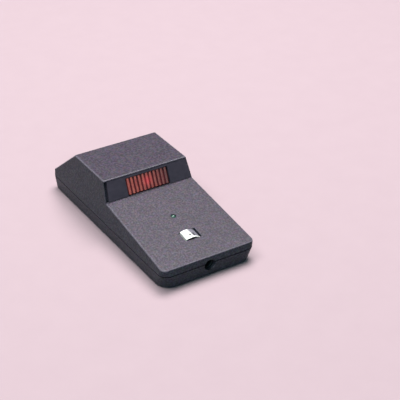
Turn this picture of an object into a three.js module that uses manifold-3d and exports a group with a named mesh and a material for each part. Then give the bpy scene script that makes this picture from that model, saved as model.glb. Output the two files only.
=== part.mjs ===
// Counterfeit bill detector: a hand-swept magnetic-ink reader for the shop counter.
// A two-part wedge case stands on four rubber feet. Its raised head holds a 9 V battery and a red
// alarm window, its sloping deck carries a rocker switch and a power light, and a sprung magnetic
// pickup looks out through the floor.
// Millimetres, +Z up, +X to the right as seen from the front, the front towards -Y. The origin is at
// the middle of the case's length and width, on the plane that the feet stand on.
import * as THREE from "three";
import { ConvexGeometry } from "three/addons/geometries/ConvexGeometry.js";
import { mergeVertices } from "three/addons/utils/BufferGeometryUtils.js";
import Module from "manifold-3d";

const wasm = await Module();
wasm.setup();

// ---------------------------------------------------------------- driving dimensions
// Inside the case group, y is measured from the deck's front edge towards the rear.
const CASE_CENTRE_Y = 67.4; // the origin's distance behind the deck's front edge
const SEAM_Z = 9; // the parting line between the two shells
const SEAM_GAP = 0.4; // the shadow gap that shows along the parting line
const SEAM_HALF_WIDTH = 30.5;
const SIDE_DRAFT = 0.105; // how far each side wall leans in per millimetre of height
const FRONT_Y_AT_SEAM = -0.6;
const REAR_Y_AT_SEAM = 135.4;
const DECK_FRONT_Z = 13.2;
const CREASE_Y = 65.4; // where the deck meets the face of the head
const CREASE_Z = 22.4;
const HEAD_FRONT_Y = 70.5;
const HEAD_REAR_Y = 106.8;
const HEAD_Z = 34.7;
const REAR_EDGE_Y = 134.8; // foot of the head's rear slope
const REAR_EDGE_Z = 12.1;
const FOOT_PROUD = 0.3; // how far the case floor is off the table
const BOTTOM_HALF_WIDTH = 29.8;
const BOTTOM_FRONT_Y = 0.6;
const BOTTOM_REAR_Y = 134.6;

const WALL = 2;
const FLOOR = 2;
const CLEARANCE = 0.3; // between pieces that meet
const SEAT_GAP = 0.1; // under a part that stands on the circuit board
const EDGE_RADIUS = 1; // the small rounding along the upper shell's edges
const BOTTOM_EDGE_RADIUS = 1;

const FLOOR_TOP = FOOT_PROUD + FLOOR;
const DECK_SLOPE = (CREASE_Z - DECK_FRONT_Z) / CREASE_Y;
const DECK_TILT = Math.atan(DECK_SLOPE);
const FACE_LEAN = Math.atan((HEAD_FRONT_Y - CREASE_Y) / (HEAD_Z - CREASE_Z));
const REAR_SLOPE = (REAR_EDGE_Z - HEAD_Z) / (REAR_EDGE_Y - HEAD_REAR_Y);
const UPPER_BOTTOM_Z = SEAM_Z + SEAM_GAP / 2;
const LOWER_TOP_Z = SEAM_Z - SEAM_GAP / 2;

const CASE_SCREWS = [
  { name: "front_left", x: -23, y: 9 },
  { name: "front_right", x: 23, y: 9 },
  { name: "rear_left", x: -23, y: 118 },
  { name: "rear_right", x: 23, y: 118 },
];
const FEET = [
  { name: "front_left", x: -21.5, y: 22 },
  { name: "front_right", x: 21.5, y: 22 },
  { name: "rear_left", x: -23.5, y: 105 },
  { name: "rear_right", x: 23.5, y: 105 },
];
const FOOT_RADIUS = 4;
const SCREW_HEAD_RADIUS = 2.4;
const SCREW_HEAD_HEIGHT = 1.8;
const SCREW_SHANK_RADIUS = 1.1;
const CASE_SCREW_LENGTH = 7.4;
const LOWER_BOSS_RADIUS = 3.7;
const UPPER_BOSS_RADIUS = 2.9;
const CASE_SCREW_PILOT_RADIUS = 1.35;
const CASE_SCREW_SEAT_Z = 3.9; // underside of a case screw's head, seen from below
const LOWER_BOSS_TOP_Z = 7.9;
const UPPER_BOSS_BOTTOM_Z = 8.2;

// Circuit board, in the deck frame: x, distance up the deck, depth below the deck's surface.
const BOARD_TOP = -8.8;
const BOARD_THICKNESS = 1.6;
const BOARD_REAR = 48;
const BOARD_SCREW_X = 20.5;
const BOARD_SCREW_S = 43.5;
const BOARD_PILOT_RADIUS = 1.25;

// Rocker switch, in the deck frame.
const SWITCH_S = 20.9;
const KEY_OPENING_X = 5.3; // half of the deck opening
const KEY_OPENING_S = 3.95;
const KEY_END_RADIUS = 4.7; // the key's ends are arcs about its pin
const KEY_HALF_WIDTH = 3.7;
const KEY_TOP_RADIUS = 9;
const KEY_CREST = 1; // above the deck, with the key level
const KEY_BOTTOM = -3.4;
const KEY_WALL = 0.9;
const PIN_DEPTH = -1.2;
const PIN_RADIUS = 0.5;
const ROCKER_TILT = THREE.MathUtils.degToRad(9); // each way from level

// Power light, in the deck frame.
const POWER_LED_S = 39.4;
const LED_RADIUS = 1.5;
const POWER_LED_BASE = -4.4; // below the deck's surface

// Power socket.
const JACK_Z = 7.4;
const JACK_FRONT_Y = 2.9;
const JACK_REAR_Y = 14;
const JACK_BORE_RADIUS = 3;
const JACK_PIN_TIP_Y = 5.6;

// Alarm window, in the face frame: x, depth into the head, distance up the face.
const FACE_LIP = 0.7; // the edge of each side wall, which frames the panel
const FACE_GROOVE = 0.7; // the dark groove between that edge and the panel
const PANEL_RECESS = 0.3;
const PANEL_THICKNESS = 1.6;
const PANEL_LOW = 0.6;
const PANEL_HIGH = 12.25;
const PANEL_SEAT = PANEL_RECESS + PANEL_THICKNESS + CLEARANCE; // depth of the ledge behind the panel
const SEAT_THICKNESS = 1.3;
const LENS_HALF_WIDTH = 13.6;
const LENS_LOW = 1.15;
const LENS_HIGH = 10.75;
const RIB_COUNT = 11;
const RIB_PITCH = 2.5;
const RIB_WIDTH = 1.4;
const RIB_FRONT = PANEL_RECESS + 0.2;
const RIB_VALLEY = PANEL_RECESS + 1.2;
const FLANGE_HALF_X = 15.4; // the lens's flange, behind the panel
const FLANGE_THICKNESS = 0.8;
const FLANGE_MARGIN = 0.7; // how far the flange reaches above and below the lens
const ALARM_LED_UP = 6;

// Magnetic pickup.
const PICKUP_Y = 56.5;
const PICKUP_HALF_X = 6.5;
const PICKUP_HALF_Y = 4.5;
const PICKUP_BOTTOM_Z = 0.2;
const PICKUP_TOP_Z = 9.2;
const BRACKET_SCREW_X = 14.2;
const BRACKET_FLANGE_Z = 6.3;
const BRACKET_TOP_Z = 12.4;
const BRACKET_SHEET = 0.8;
const BRACKET_BOSS_RADIUS = 2.8;
const BRACKET_PILOT_RADIUS = 1.2;

// Battery and its door.
const BATTERY_HALF_X = 13.25;
const BATTERY_FRONT_Y = 72.3; // front end of the battery's can
const BATTERY_CAN_LENGTH = 46.4;
const BATTERY_BOTTOM_Z = 2.9;
const BATTERY_HEIGHT = 17.5;
const TERMINAL_X = 6.35;
const TERMINAL_LENGTH = 2.1;
const DOOR_FRONT_Y = 68;
const DOOR_TOP_Z = 2.5;
const DOOR_HALF_X = 15.5;
const TONGUE_HALF_X = 17.2;
const TONGUE_BOTTOM_Z = 1.5;
const RAIL_INNER_X = 14.3;
const RAIL_OUTER_X = 19.4;
const RAIL_TOP_Z = 4.2;
const BAY_FRONT_Y = 64.6;
const BAY_REAR_Y = 123.2; // rear face of the battery bay's rear wall
const BAY_WALL = 1.4;
const BAY_WALL_TOP_Z = 8.2;

// ---------------------------------------------------------------- materials
function material(color, roughness, metalness = 0) {
  return new THREE.MeshStandardMaterial({ color, roughness, metalness });
}

const CASE = material(0x4a464e, 0.72);
const PANEL = material(0x2c2d36, 0.4);
const LENS = material(0xc23c34, 0.25);
const KEY = material(0xe9e7e2, 0.4);
const GREEN_LED = material(0x2f8a52, 0.2);
const RED_LED = material(0xe04030, 0.2);
const RUBBER = material(0x1d1d1f, 0.9);
const SCREW = material(0x9a9a9c, 0.35, 0.9);
const BOARD = material(0x2f6b43, 0.5);
const BLACK_PLASTIC = material(0x18181a, 0.5);
const SLEEVE = material(0x27304f, 0.4);
const NYLON = material(0xe4e1d6, 0.6);
const BRASS = material(0xc9a85c, 0.35, 0.9);
const TIN = material(0xc8c9cb, 0.3, 0.9);
const BATTERY = material(0x3b3f46, 0.35, 0.4);
const FOAM = material(0x3a3a3c, 0.95);
const RED_WIRE = material(0xb3261e, 0.5);
const BLACK_WIRE = material(0x1a1a1a, 0.5);
const GREY_WIRE = material(0x7d7f84, 0.5);

// ---------------------------------------------------------------- solids
// A closed three.js geometry as a solid, with its shared vertices merged.
function solidOf(geometry) {
  const bare = new THREE.BufferGeometry();
  bare.setAttribute("position", geometry.getAttribute("position").clone());
  if (geometry.index) bare.setIndex(geometry.index.clone());
  const merged = mergeVertices(bare, 1e-4);
  return new wasm.Manifold(
    new wasm.Mesh({
      numProp: 3,
      vertProperties: new Float32Array(merged.attributes.position.array),
      triVerts: new Uint32Array(merged.index.array),
    }),
  );
}

// A solid as a three.js geometry.
function geometryOf(solid) {
  const made = solid.getMesh();
  const geometry = new THREE.BufferGeometry();
  geometry.setAttribute("position", new THREE.BufferAttribute(made.vertProperties, 3));
  geometry.setIndex(new THREE.BufferAttribute(made.triVerts, 1));
  geometry.computeVertexNormals();
  return geometry;
}

function joined(solids) {
  return solids.reduce((whole, next) => whole.add(next));
}

function cut(solid, tools) {
  return tools.reduce((left, tool) => left.subtract(tool), solid);
}

// A box from its lowest to its highest corner.
function box(x0, x1, y0, y1, z0, z1) {
  const geometry = new THREE.BoxGeometry(x1 - x0, y1 - y0, z1 - z0);
  return geometry.translate((x0 + x1) / 2, (y0 + y1) / 2, (z0 + z1) / 2);
}

function upright(radius, x, y, z0, z1, sides = 24) {
  const geometry = new THREE.CylinderGeometry(radius, radius, z1 - z0, sides);
  return geometry.rotateX(Math.PI / 2).translate(x, y, (z0 + z1) / 2);
}

function alongY(radius, x, z, y0, y1, sides = 24) {
  const geometry = new THREE.CylinderGeometry(radius, radius, y1 - y0, sides);
  return geometry.translate(x, (y0 + y1) / 2, z);
}

// An outline in x and z, extruded along y from y0 to y1.
function acrossY(shape, y0, y1, curveSegments = 12) {
  const settings = { depth: y1 - y0, bevelEnabled: false, curveSegments };
  return new THREE.ExtrudeGeometry(shape, settings).rotateX(Math.PI / 2).translate(0, y1, 0);
}

// A tube along a smooth curve through the points.
function lead(points, radius, steps = 24) {
  const path = new THREE.CatmullRomCurve3(points.map((p) => new THREE.Vector3(...p)));
  const section = new THREE.Shape().absarc(0, 0, radius, 0, 2 * Math.PI);
  return new THREE.ExtrudeGeometry(section, { steps, curveSegments: 4, extrudePath: path });
}

// ---------------------------------------------------------------- frames and nodes
const detector = new THREE.Group();
const caseFrame = new THREE.Group();
caseFrame.position.y = -CASE_CENTRE_Y;
detector.add(caseFrame);

// The deck frame: z out of the deck, y up its slope from the front edge.
const deckFrame = new THREE.Group();
deckFrame.position.z = DECK_FRONT_Z;
deckFrame.rotation.x = DECK_TILT;
caseFrame.add(deckFrame);

// The face frame: y into the head, z up its leaning face from the crease.
const faceFrame = new THREE.Group();
faceFrame.position.set(0, CREASE_Y, CREASE_Z);
faceFrame.rotation.x = -FACE_LEAN;
caseFrame.add(faceFrame);

// The key's frame: its pin's axis, turned so that the key's right side is down.
const keyFrame = new THREE.Group();
keyFrame.position.set(0, SWITCH_S, PIN_DEPTH);
keyFrame.rotation.y = ROCKER_TILT;
deckFrame.add(keyFrame);

function addNode(frame, name, shape, finish) {
  const geometry = shape instanceof THREE.BufferGeometry ? shape : geometryOf(shape);
  const mesh = new THREE.Mesh(geometry, finish);
  mesh.name = name;
  frame.add(mesh);
}

// A geometry made in an inner frame, as a solid in the case frame.
function inCase(frame, geometry) {
  frame.updateMatrix();
  return solidOf(geometry.clone().applyMatrix4(frame.matrix));
}

// ---------------------------------------------------------------- case outlines
function halfWidth(z) {
  if (z >= SEAM_Z) return SEAM_HALF_WIDTH - SIDE_DRAFT * (z - SEAM_Z);
  const share = (z - FOOT_PROUD) / (SEAM_Z - FOOT_PROUD);
  return BOTTOM_HALF_WIDTH + (SEAM_HALF_WIDTH - BOTTOM_HALF_WIDTH) * share;
}

// A convex side outline, anticlockwise in y and z, moved inwards by a distance.
function insetOutline(outline, distance) {
  const lines = outline.map(([y, z], i) => {
    const [nextY, nextZ] = outline[(i + 1) % outline.length];
    const length = Math.hypot(nextY - y, nextZ - z);
    const alongLine = [(nextY - y) / length, (nextZ - z) / length];
    return { y: y - alongLine[1] * distance, z: z + alongLine[0] * distance, alongLine };
  });
  return lines.map((line, i) => {
    const before = lines[(i + lines.length - 1) % lines.length];
    const [ay, az] = before.alongLine;
    const [by, bz] = line.alongLine;
    const step = ((line.y - before.y) * bz - (line.z - before.z) * by) / (ay * bz - az * by);
    return [before.y + ay * step, before.z + az * step];
  });
}

// The convex block that a side outline and its rounded corners span. Each corner has its plan radius,
// its edge radius, its end (-1 front, 1 rear) and the slope of the surface that it bounds.
function block(outline, corners, inset, steps = 3) {
  const points = [];
  corners.forEach(({ plan, edge, end, slope = 0 }, index) => {
    const round = Math.max(edge - inset, 0);
    const turn = Math.max(plan - inset, round) - round;
    const [cornerY, cornerZ] = insetOutline(outline, inset + round)[index];
    const arcSteps = turn + round > 0 ? steps : 0;
    const edgeSteps = round > 0 ? 2 * steps : 0;
    for (const side of [-1, 1]) {
      for (let i = 0; i <= arcSteps; i++) {
        const phi = arcSteps ? (i / arcSteps) * (Math.PI / 2) : 0;
        const back = turn * (1 - Math.sin(phi));
        const z = cornerZ - end * back * slope;
        const centreX = halfWidth(z) - inset - round - turn * (1 - Math.cos(phi));
        for (let j = 0; j <= edgeSteps; j++) {
          const theta = edgeSteps ? (j / edgeSteps - 0.5) * Math.PI : 0;
          const reach = round * Math.cos(theta);
          points.push(
            new THREE.Vector3(
              side * (centreX + reach * Math.cos(phi)),
              cornerY - end * back + end * reach * Math.sin(phi),
              z + round * Math.sin(theta),
            ),
          );
        }
      }
    }
  });
  return solidOf(new ConvexGeometry(points));
}

const DECK_HIDDEN_Y = 72; // the deck block runs on into the head

function deckBlock(inset, bottomZ) {
  const outline = [
    [FRONT_Y_AT_SEAM, bottomZ],
    [DECK_HIDDEN_Y + inset, bottomZ],
    [DECK_HIDDEN_Y + inset, DECK_FRONT_Z + DECK_SLOPE * (DECK_HIDDEN_Y + inset)],
    [0, DECK_FRONT_Z],
  ];
  const corners = [
    { plan: 5.5, edge: 0, end: -1 },
    { plan: 0, edge: 0, end: 1 },
    { plan: EDGE_RADIUS, edge: EDGE_RADIUS, end: 1, slope: DECK_SLOPE },
    { plan: 3.5, edge: EDGE_RADIUS, end: -1, slope: DECK_SLOPE },
  ];
  return block(outline, corners, inset);
}

function headBlock(inset, bottomZ) {
  const outline = [
    [CREASE_Y - 2.4, bottomZ],
    [REAR_Y_AT_SEAM, bottomZ],
    [REAR_EDGE_Y, REAR_EDGE_Z],
    [HEAD_REAR_Y, HEAD_Z],
    [HEAD_FRONT_Y, HEAD_Z],
    [CREASE_Y, CREASE_Z],
  ];
  const corners = [
    { plan: 0, edge: 0, end: -1 },
    { plan: 4.5, edge: 0, end: 1 },
    { plan: 3.5, edge: EDGE_RADIUS, end: 1, slope: REAR_SLOPE },
    { plan: EDGE_RADIUS, edge: EDGE_RADIUS, end: 1 },
    { plan: EDGE_RADIUS, edge: EDGE_RADIUS, end: -1 },
    { plan: EDGE_RADIUS, edge: EDGE_RADIUS, end: -1 },
  ];
  return block(outline, corners, inset);
}

function trayBlock(inset, topZ) {
  const outline = [
    [BOTTOM_FRONT_Y, FOOT_PROUD],
    [BOTTOM_REAR_Y, FOOT_PROUD],
    [REAR_Y_AT_SEAM, topZ],
    [FRONT_Y_AT_SEAM, topZ],
  ];
  const corners = [
    { plan: 9, edge: BOTTOM_EDGE_RADIUS, end: -1 },
    { plan: 5, edge: BOTTOM_EDGE_RADIUS, end: 1 },
    { plan: 4.5, edge: 0, end: 1 },
    { plan: 5.5, edge: 0, end: -1 },
  ];
  return block(outline, corners, inset);
}

// A straight-sided ring of the case's plan at the seam, moved inwards.
function seamBlock(inset, bottomZ, topZ) {
  const points = [];
  for (const [end, seamY, plan] of [[-1, FRONT_Y_AT_SEAM, 5.5], [1, REAR_Y_AT_SEAM, 4.5]]) {
    const radius = plan - inset;
    for (const side of [-1, 1]) {
      for (let i = 0; i <= 3; i++) {
        const phi = (i / 3) * (Math.PI / 2);
        const x = side * (SEAM_HALF_WIDTH - inset - radius * (1 - Math.cos(phi)));
        const y = seamY - end * (inset + radius * (1 - Math.sin(phi)));
        points.push(new THREE.Vector3(x, y, bottomZ), new THREE.Vector3(x, y, topZ));
      }
    }
  }
  return solidOf(new ConvexGeometry(points));
}

// ---------------------------------------------------------------- upper shell
const LIP_INSET = 1.1; // outer face of the lower shell's lip
const LIP_TOP_Z = SEAM_Z + 1.4;
const REBATE_INSET = LIP_INSET - CLEARANCE;
const REBATE_TOP_Z = LIP_TOP_Z + CLEARANCE;
const CAVITY_BOTTOM_Z = SEAM_Z - 5;
const BOARD_BOSS_RADIUS = 2.6;
const ALARM_BOARD_HALF_X = 7;
const ALARM_BOARD_DEPTH = 8.3;
const ALARM_BOARD_THICKNESS = 1.2;

function jackHole() {
  return solidOf(alongY(JACK_BORE_RADIUS + 0.4, 0, JACK_Z, -3, 3.2, 32));
}

// A post that hangs from the deck's underside, in the deck frame.
function boardBoss(side) {
  const low = BOARD_TOP + CLEARANCE;
  return inCase(deckFrame, upright(BOARD_BOSS_RADIUS, side * BOARD_SCREW_X, BOARD_SCREW_S, low, -WALL + 0.5));
}

// A grooved block that holds one end of the alarm board, in the face frame.
function alarmBoardClip(side) {
  const x0 = Math.min(side * 6.4, side * 8.4);
  return inCase(faceFrame, box(x0, x0 + 2, 7, 10.8, 7, 15.4));
}

function upperShell() {
  const outside = deckBlock(0, UPPER_BOTTOM_Z).add(headBlock(0, UPPER_BOTTOM_Z));
  const inside = deckBlock(WALL, CAVITY_BOTTOM_Z).add(headBlock(WALL, CAVITY_BOTTOM_Z));
  const batteryRib = solidOf(box(-12, 12, 94, 94 + BAY_WALL, 22.6, HEAD_Z - WALL + 0.5));
  const ribs = [batteryRib, panelSeat()];
  for (const side of [-1, 1]) ribs.push(boardBoss(side), alarmBoardClip(side));
  for (const { x, y } of CASE_SCREWS) {
    ribs.push(solidOf(upright(UPPER_BOSS_RADIUS, x, y, UPPER_BOSS_BOTTOM_Z, HEAD_Z)).intersect(skinLimit()));
  }
  const holes = [
    seamBlock(REBATE_INSET, CAVITY_BOTTOM_Z, REBATE_TOP_Z).subtract(upperBosses()),
    jackHole(),
    inCase(deckFrame, keyOpening()),
    inCase(deckFrame, upright(LED_RADIUS + 0.15, 0, POWER_LED_S, -4, 2, 20)),
    inCase(faceFrame, faceOpening()),
    inCase(faceFrame, seatWindow()),
    inCase(faceFrame, alarmBoardSlot()),
  ];
  for (const { x, y } of CASE_SCREWS) {
    holes.push(solidOf(upright(CASE_SCREW_PILOT_RADIUS, x, y, 0, 11.7, 12)));
  }
  for (const side of [-1, 1]) {
    const pilot = upright(BOARD_PILOT_RADIUS, side * BOARD_SCREW_X, BOARD_SCREW_S, -12, -3.6, 12);
    holes.push(inCase(deckFrame, pilot));
  }
  return cut(joined([outside.subtract(inside), ...ribs]), holes);
}

// The space that the upper shell's inner features may fill, which keeps them inside its outer skin.
function skinLimit() {
  return deckBlock(0.5, CAVITY_BOTTOM_Z).add(headBlock(0.5, CAVITY_BOTTOM_Z));
}

function upperBosses() {
  return joined(CASE_SCREWS.map(({ x, y }) => solidOf(upright(UPPER_BOSS_RADIUS, x, y, 0, LIP_TOP_Z + 2))));
}

function keyOpening() {
  return box(-KEY_OPENING_X, KEY_OPENING_X, SWITCH_S - KEY_OPENING_S, SWITCH_S + KEY_OPENING_S, -4, 3);
}

// A slab in the face frame, whose two ends follow the case's side walls at an inset from them.
function faceSlab(endInset, front, back, low, high) {
  const halfLow = halfWidth(CREASE_Z + low * Math.cos(FACE_LEAN)) - endInset;
  const halfHigh = halfWidth(CREASE_Z + high * Math.cos(FACE_LEAN)) - endInset;
  const outline = [[-halfLow, low], [halfLow, low], [halfHigh, high], [-halfHigh, high]];
  return acrossY(new THREE.Shape(outline.map((p) => new THREE.Vector2(...p))), front, back);
}

function faceOpening() {
  return faceSlab(FACE_LIP, -2, PANEL_SEAT, PANEL_LOW - CLEARANCE, PANEL_HIGH + CLEARANCE);
}

// The ledge that the face panel rests against, joined to the walls round it.
function panelSeat() {
  const slab = faceSlab(1.2, 1.6, PANEL_SEAT + SEAT_THICKNESS, -0.5, PANEL_HIGH + 0.65);
  return inCase(faceFrame, slab).intersect(skinLimit());
}

function seatWindow() {
  const halfX = FLANGE_HALF_X + CLEARANCE;
  const margin = FLANGE_MARGIN + CLEARANCE;
  return box(-halfX, halfX, 1, PANEL_SEAT + SEAT_THICKNESS + 1, LENS_LOW - margin, LENS_HIGH + margin);
}

function alarmBoardSlot() {
  const near = ALARM_BOARD_DEPTH - CLEARANCE;
  const far = ALARM_BOARD_DEPTH + ALARM_BOARD_THICKNESS + CLEARANCE;
  return box(-ALARM_BOARD_HALF_X - CLEARANCE, ALARM_BOARD_HALF_X + CLEARANCE, near, far, 2, 10);
}

// ---------------------------------------------------------------- lower shell
function screwBoss({ x, y }) {
  return solidOf(upright(LOWER_BOSS_RADIUS, x, y, FOOT_PROUD + 0.6, LOWER_BOSS_TOP_Z));
}

function screwHole({ x, y }) {
  const counterbore = solidOf(upright(SCREW_HEAD_RADIUS + CLEARANCE, x, y, 0, CASE_SCREW_SEAT_Z));
  return counterbore.add(solidOf(upright(SCREW_SHANK_RADIUS + CLEARANCE, x, y, 0, 12, 12)));
}

function bracketBoss(side) {
  const top = BRACKET_FLANGE_Z - CLEARANCE;
  return solidOf(upright(BRACKET_BOSS_RADIUS, side * BRACKET_SCREW_X, PICKUP_Y, FLOOR_TOP - 0.4, top));
}

// The rails and walls round the battery, on one side.
function batteryRail(side) {
  const innerX = side * RAIL_INNER_X;
  const outerX = side * RAIL_OUTER_X;
  const wallX = innerX + side * BAY_WALL;
  const frontY = BAY_FRONT_Y + 0.4;
  const railX = [Math.min(innerX, outerX), Math.max(innerX, outerX)];
  const rail = box(...railX, frontY, 133, FLOOR_TOP - 0.4, RAIL_TOP_Z);
  const wall = box(Math.min(innerX, wallX), Math.max(innerX, wallX), frontY, BAY_REAR_Y, 4, BAY_WALL_TOP_Z);
  return solidOf(rail).add(solidOf(wall));
}

function doorChannel() {
  const frontY = DOOR_FRONT_Y - CLEARANCE;
  const topZ = DOOR_TOP_Z + CLEARANCE;
  const outerX = DOOR_HALF_X + CLEARANCE;
  const tongueX = TONGUE_HALF_X + CLEARANCE;
  const outer = box(-outerX, outerX, frontY, 140, 0, topZ);
  const tongue = box(-tongueX, tongueX, frontY, 140, TONGUE_BOTTOM_Z - CLEARANCE, topZ);
  return solidOf(outer).add(solidOf(tongue));
}

function soundSlots() {
  return [0, 1, 2, 3, 4].map((i) => solidOf(box(-18, -9, 28 + 2.6 * i, 29.2 + 2.6 * i, 0, 3)));
}

function lowerShell() {
  const cavity = trayBlock(WALL, SEAM_Z + 4).subtract(solidOf(box(-40, 40, -10, 150, 0, FLOOR_TOP)));
  const tray = trayBlock(0, LOWER_TOP_Z).subtract(cavity);
  const lip = seamBlock(LIP_INSET, LOWER_TOP_Z - 1, LIP_TOP_Z).subtract(seamBlock(WALL, 0, 20));
  const crossX = RAIL_INNER_X + 1;
  const added = [
    ...CASE_SCREWS.map(screwBoss),
    batteryRail(-1),
    batteryRail(1),
    solidOf(box(-crossX, crossX, BAY_FRONT_Y, BAY_FRONT_Y + BAY_WALL, FLOOR_TOP - 0.4, 7.6)),
    solidOf(box(-crossX, crossX, BAY_REAR_Y - BAY_WALL, BAY_REAR_Y, 3, BAY_WALL_TOP_Z)),
    bracketBoss(-1),
    bracketBoss(1),
  ];
  const slotX = PICKUP_HALF_X + 0.4;
  const slotY = PICKUP_HALF_Y + 0.4;
  const holes = [
    ...CASE_SCREWS.map(screwHole),
    ...FEET.map(({ x, y }) => solidOf(upright(FOOT_RADIUS + CLEARANCE, x, y, 0, FOOT_PROUD + 0.8))),
    doorChannel(),
    jackHole(),
    solidOf(box(-slotX, slotX, PICKUP_Y - slotY, PICKUP_Y + slotY, 0, 5)),
    solidOf(upright(BRACKET_PILOT_RADIUS, -BRACKET_SCREW_X, PICKUP_Y, 2, 10, 12)),
    solidOf(upright(BRACKET_PILOT_RADIUS, BRACKET_SCREW_X, PICKUP_Y, 2, 10, 12)),
    ...soundSlots(),
  ];
  return cut(joined([tray, lip, ...added]), holes);
}

// ---------------------------------------------------------------- battery door, feet and screws
function batteryDoor() {
  const outer = box(-DOOR_HALF_X, DOOR_HALF_X, DOOR_FRONT_Y, 140, 0, DOOR_TOP_Z);
  const tongue = box(-TONGUE_HALF_X, TONGUE_HALF_X, DOOR_FRONT_Y, 140, TONGUE_BOTTOM_Z, DOOR_TOP_Z);
  const slab = solidOf(outer).add(solidOf(tongue)).intersect(trayBlock(0, LOWER_TOP_Z));
  const grooves = [0, 1, 2, 3, 4, 5].map((i) => {
    const y = 112 + 2.4 * i;
    return solidOf(box(-8, 8, y, y + 1.1, 0, FOOT_PROUD + 0.5));
  });
  return cut(slab, grooves);
}

// A screw that stands on its head, with a cross recess in the head's underside.
function screw(length, headRadius = SCREW_HEAD_RADIUS, headHeight = SCREW_HEAD_HEIGHT) {
  const head = solidOf(upright(headRadius, 0, 0, 0, headHeight));
  const shank = solidOf(upright(SCREW_SHANK_RADIUS, 0, 0, headHeight - 0.2, headHeight + length, 12));
  const arm = headRadius * 0.55;
  const slotWide = solidOf(box(-arm, arm, -0.3, 0.3, -1, headHeight * 0.5));
  const slotDeep = solidOf(box(-0.3, 0.3, -arm, arm, -1, headHeight * 0.5));
  return cut(head.add(shank), [slotWide, slotDeep]);
}

function addAt(frame, name, shape, finish, x, y, z, turnX = 0) {
  const place = new THREE.Group();
  place.position.set(x, y, z);
  place.rotation.x = turnX;
  frame.add(place);
  addNode(place, name, shape, finish);
}

function addFastenersAndFeet() {
  const headZ = CASE_SCREW_SEAT_Z - CLEARANCE / 2 - SCREW_HEAD_HEIGHT;
  for (const { name, x, y } of CASE_SCREWS) {
    addAt(caseFrame, `case_screw_${name}`, screw(CASE_SCREW_LENGTH), SCREW, x, y, headZ);
  }
  for (const { name, x, y } of FEET) {
    const foot = upright(FOOT_RADIUS, 0, 0, 0, FOOT_PROUD + 0.6);
    addAt(caseFrame, `rubber_foot_${name}`, foot, RUBBER, x, y, 0);
  }
  for (const [name, side] of [["left", -1], ["right", 1]]) {
    const low = BOARD_TOP - BOARD_THICKNESS - CLEARANCE - 1.5;
    const boardScrew = screw(6.6, 2.1, 1.5);
    addAt(deckFrame, `board_screw_${name}`, boardScrew, SCREW, side * BOARD_SCREW_X, BOARD_SCREW_S, low);
    const high = BRACKET_FLANGE_Z + BRACKET_SHEET + SEAT_GAP + 1.5;
    const bracketScrew = screw(4.6, 2, 1.5);
    const bracketX = side * BRACKET_SCREW_X;
    addAt(caseFrame, `bracket_screw_${name}`, bracketScrew, SCREW, bracketX, PICKUP_Y, high, Math.PI);
  }
}

// ---------------------------------------------------------------- alarm window
function facePanel() {
  const back = PANEL_RECESS + PANEL_THICKNESS;
  const plate = solidOf(faceSlab(FACE_LIP + FACE_GROOVE, PANEL_RECESS, back, PANEL_LOW, PANEL_HIGH));
  const windowX = LENS_HALF_WIDTH + CLEARANCE;
  const opening = box(-windowX, windowX, -1, 4, LENS_LOW - CLEARANCE, LENS_HIGH + CLEARANCE);
  return plate.subtract(solidOf(opening));
}

function alarmLens() {
  const back = PANEL_SEAT + FLANGE_THICKNESS;
  const flangeLow = LENS_LOW - FLANGE_MARGIN;
  const flangeHigh = LENS_HIGH + FLANGE_MARGIN;
  const pieces = [
    solidOf(box(-LENS_HALF_WIDTH, LENS_HALF_WIDTH, RIB_VALLEY, back, LENS_LOW, LENS_HIGH)),
    solidOf(box(-FLANGE_HALF_X, FLANGE_HALF_X, PANEL_SEAT, back, flangeLow, flangeHigh)),
  ];
  for (let i = 0; i < RIB_COUNT; i++) {
    const x = (i - (RIB_COUNT - 1) / 2) * RIB_PITCH;
    const rib = box(x - RIB_WIDTH / 2, x + RIB_WIDTH / 2, RIB_FRONT, RIB_VALLEY + 0.2, LENS_LOW, LENS_HIGH);
    pieces.push(solidOf(rib));
  }
  return joined(pieces);
}

// A round lamp with a flange and a domed end, standing on z = 0.
function led(radius, bodyHeight) {
  const dome = new THREE.EllipseCurve(0, bodyHeight - radius, radius, radius, 0, Math.PI / 2);
  const profile = [
    new THREE.Vector2(0, 0),
    new THREE.Vector2(radius + 0.35, 0),
    new THREE.Vector2(radius + 0.35, 0.8),
    new THREE.Vector2(radius, 0.8),
    ...dome.getPoints(5).map((p) => new THREE.Vector2(Math.max(p.x, 0), p.y)),
  ];
  profile[profile.length - 1].x = 0;
  return new THREE.LatheGeometry(profile, 20).rotateX(Math.PI / 2);
}

function addAlarm() {
  addNode(faceFrame, "face_panel", facePanel(), PANEL);
  addNode(faceFrame, "alarm_lens", alarmLens(), LENS);
  const far = ALARM_BOARD_DEPTH + ALARM_BOARD_THICKNESS;
  const board = box(-ALARM_BOARD_HALF_X, ALARM_BOARD_HALF_X, ALARM_BOARD_DEPTH, far, 3.2, 9.6);
  addNode(faceFrame, "alarm_board", board, BOARD);
  const ledBack = ALARM_BOARD_DEPTH - SEAT_GAP;
  addAt(faceFrame, "alarm_led", led(LED_RADIUS, 4.4), RED_LED, 0, ledBack, ALARM_LED_UP, Math.PI / 2);
}

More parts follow.
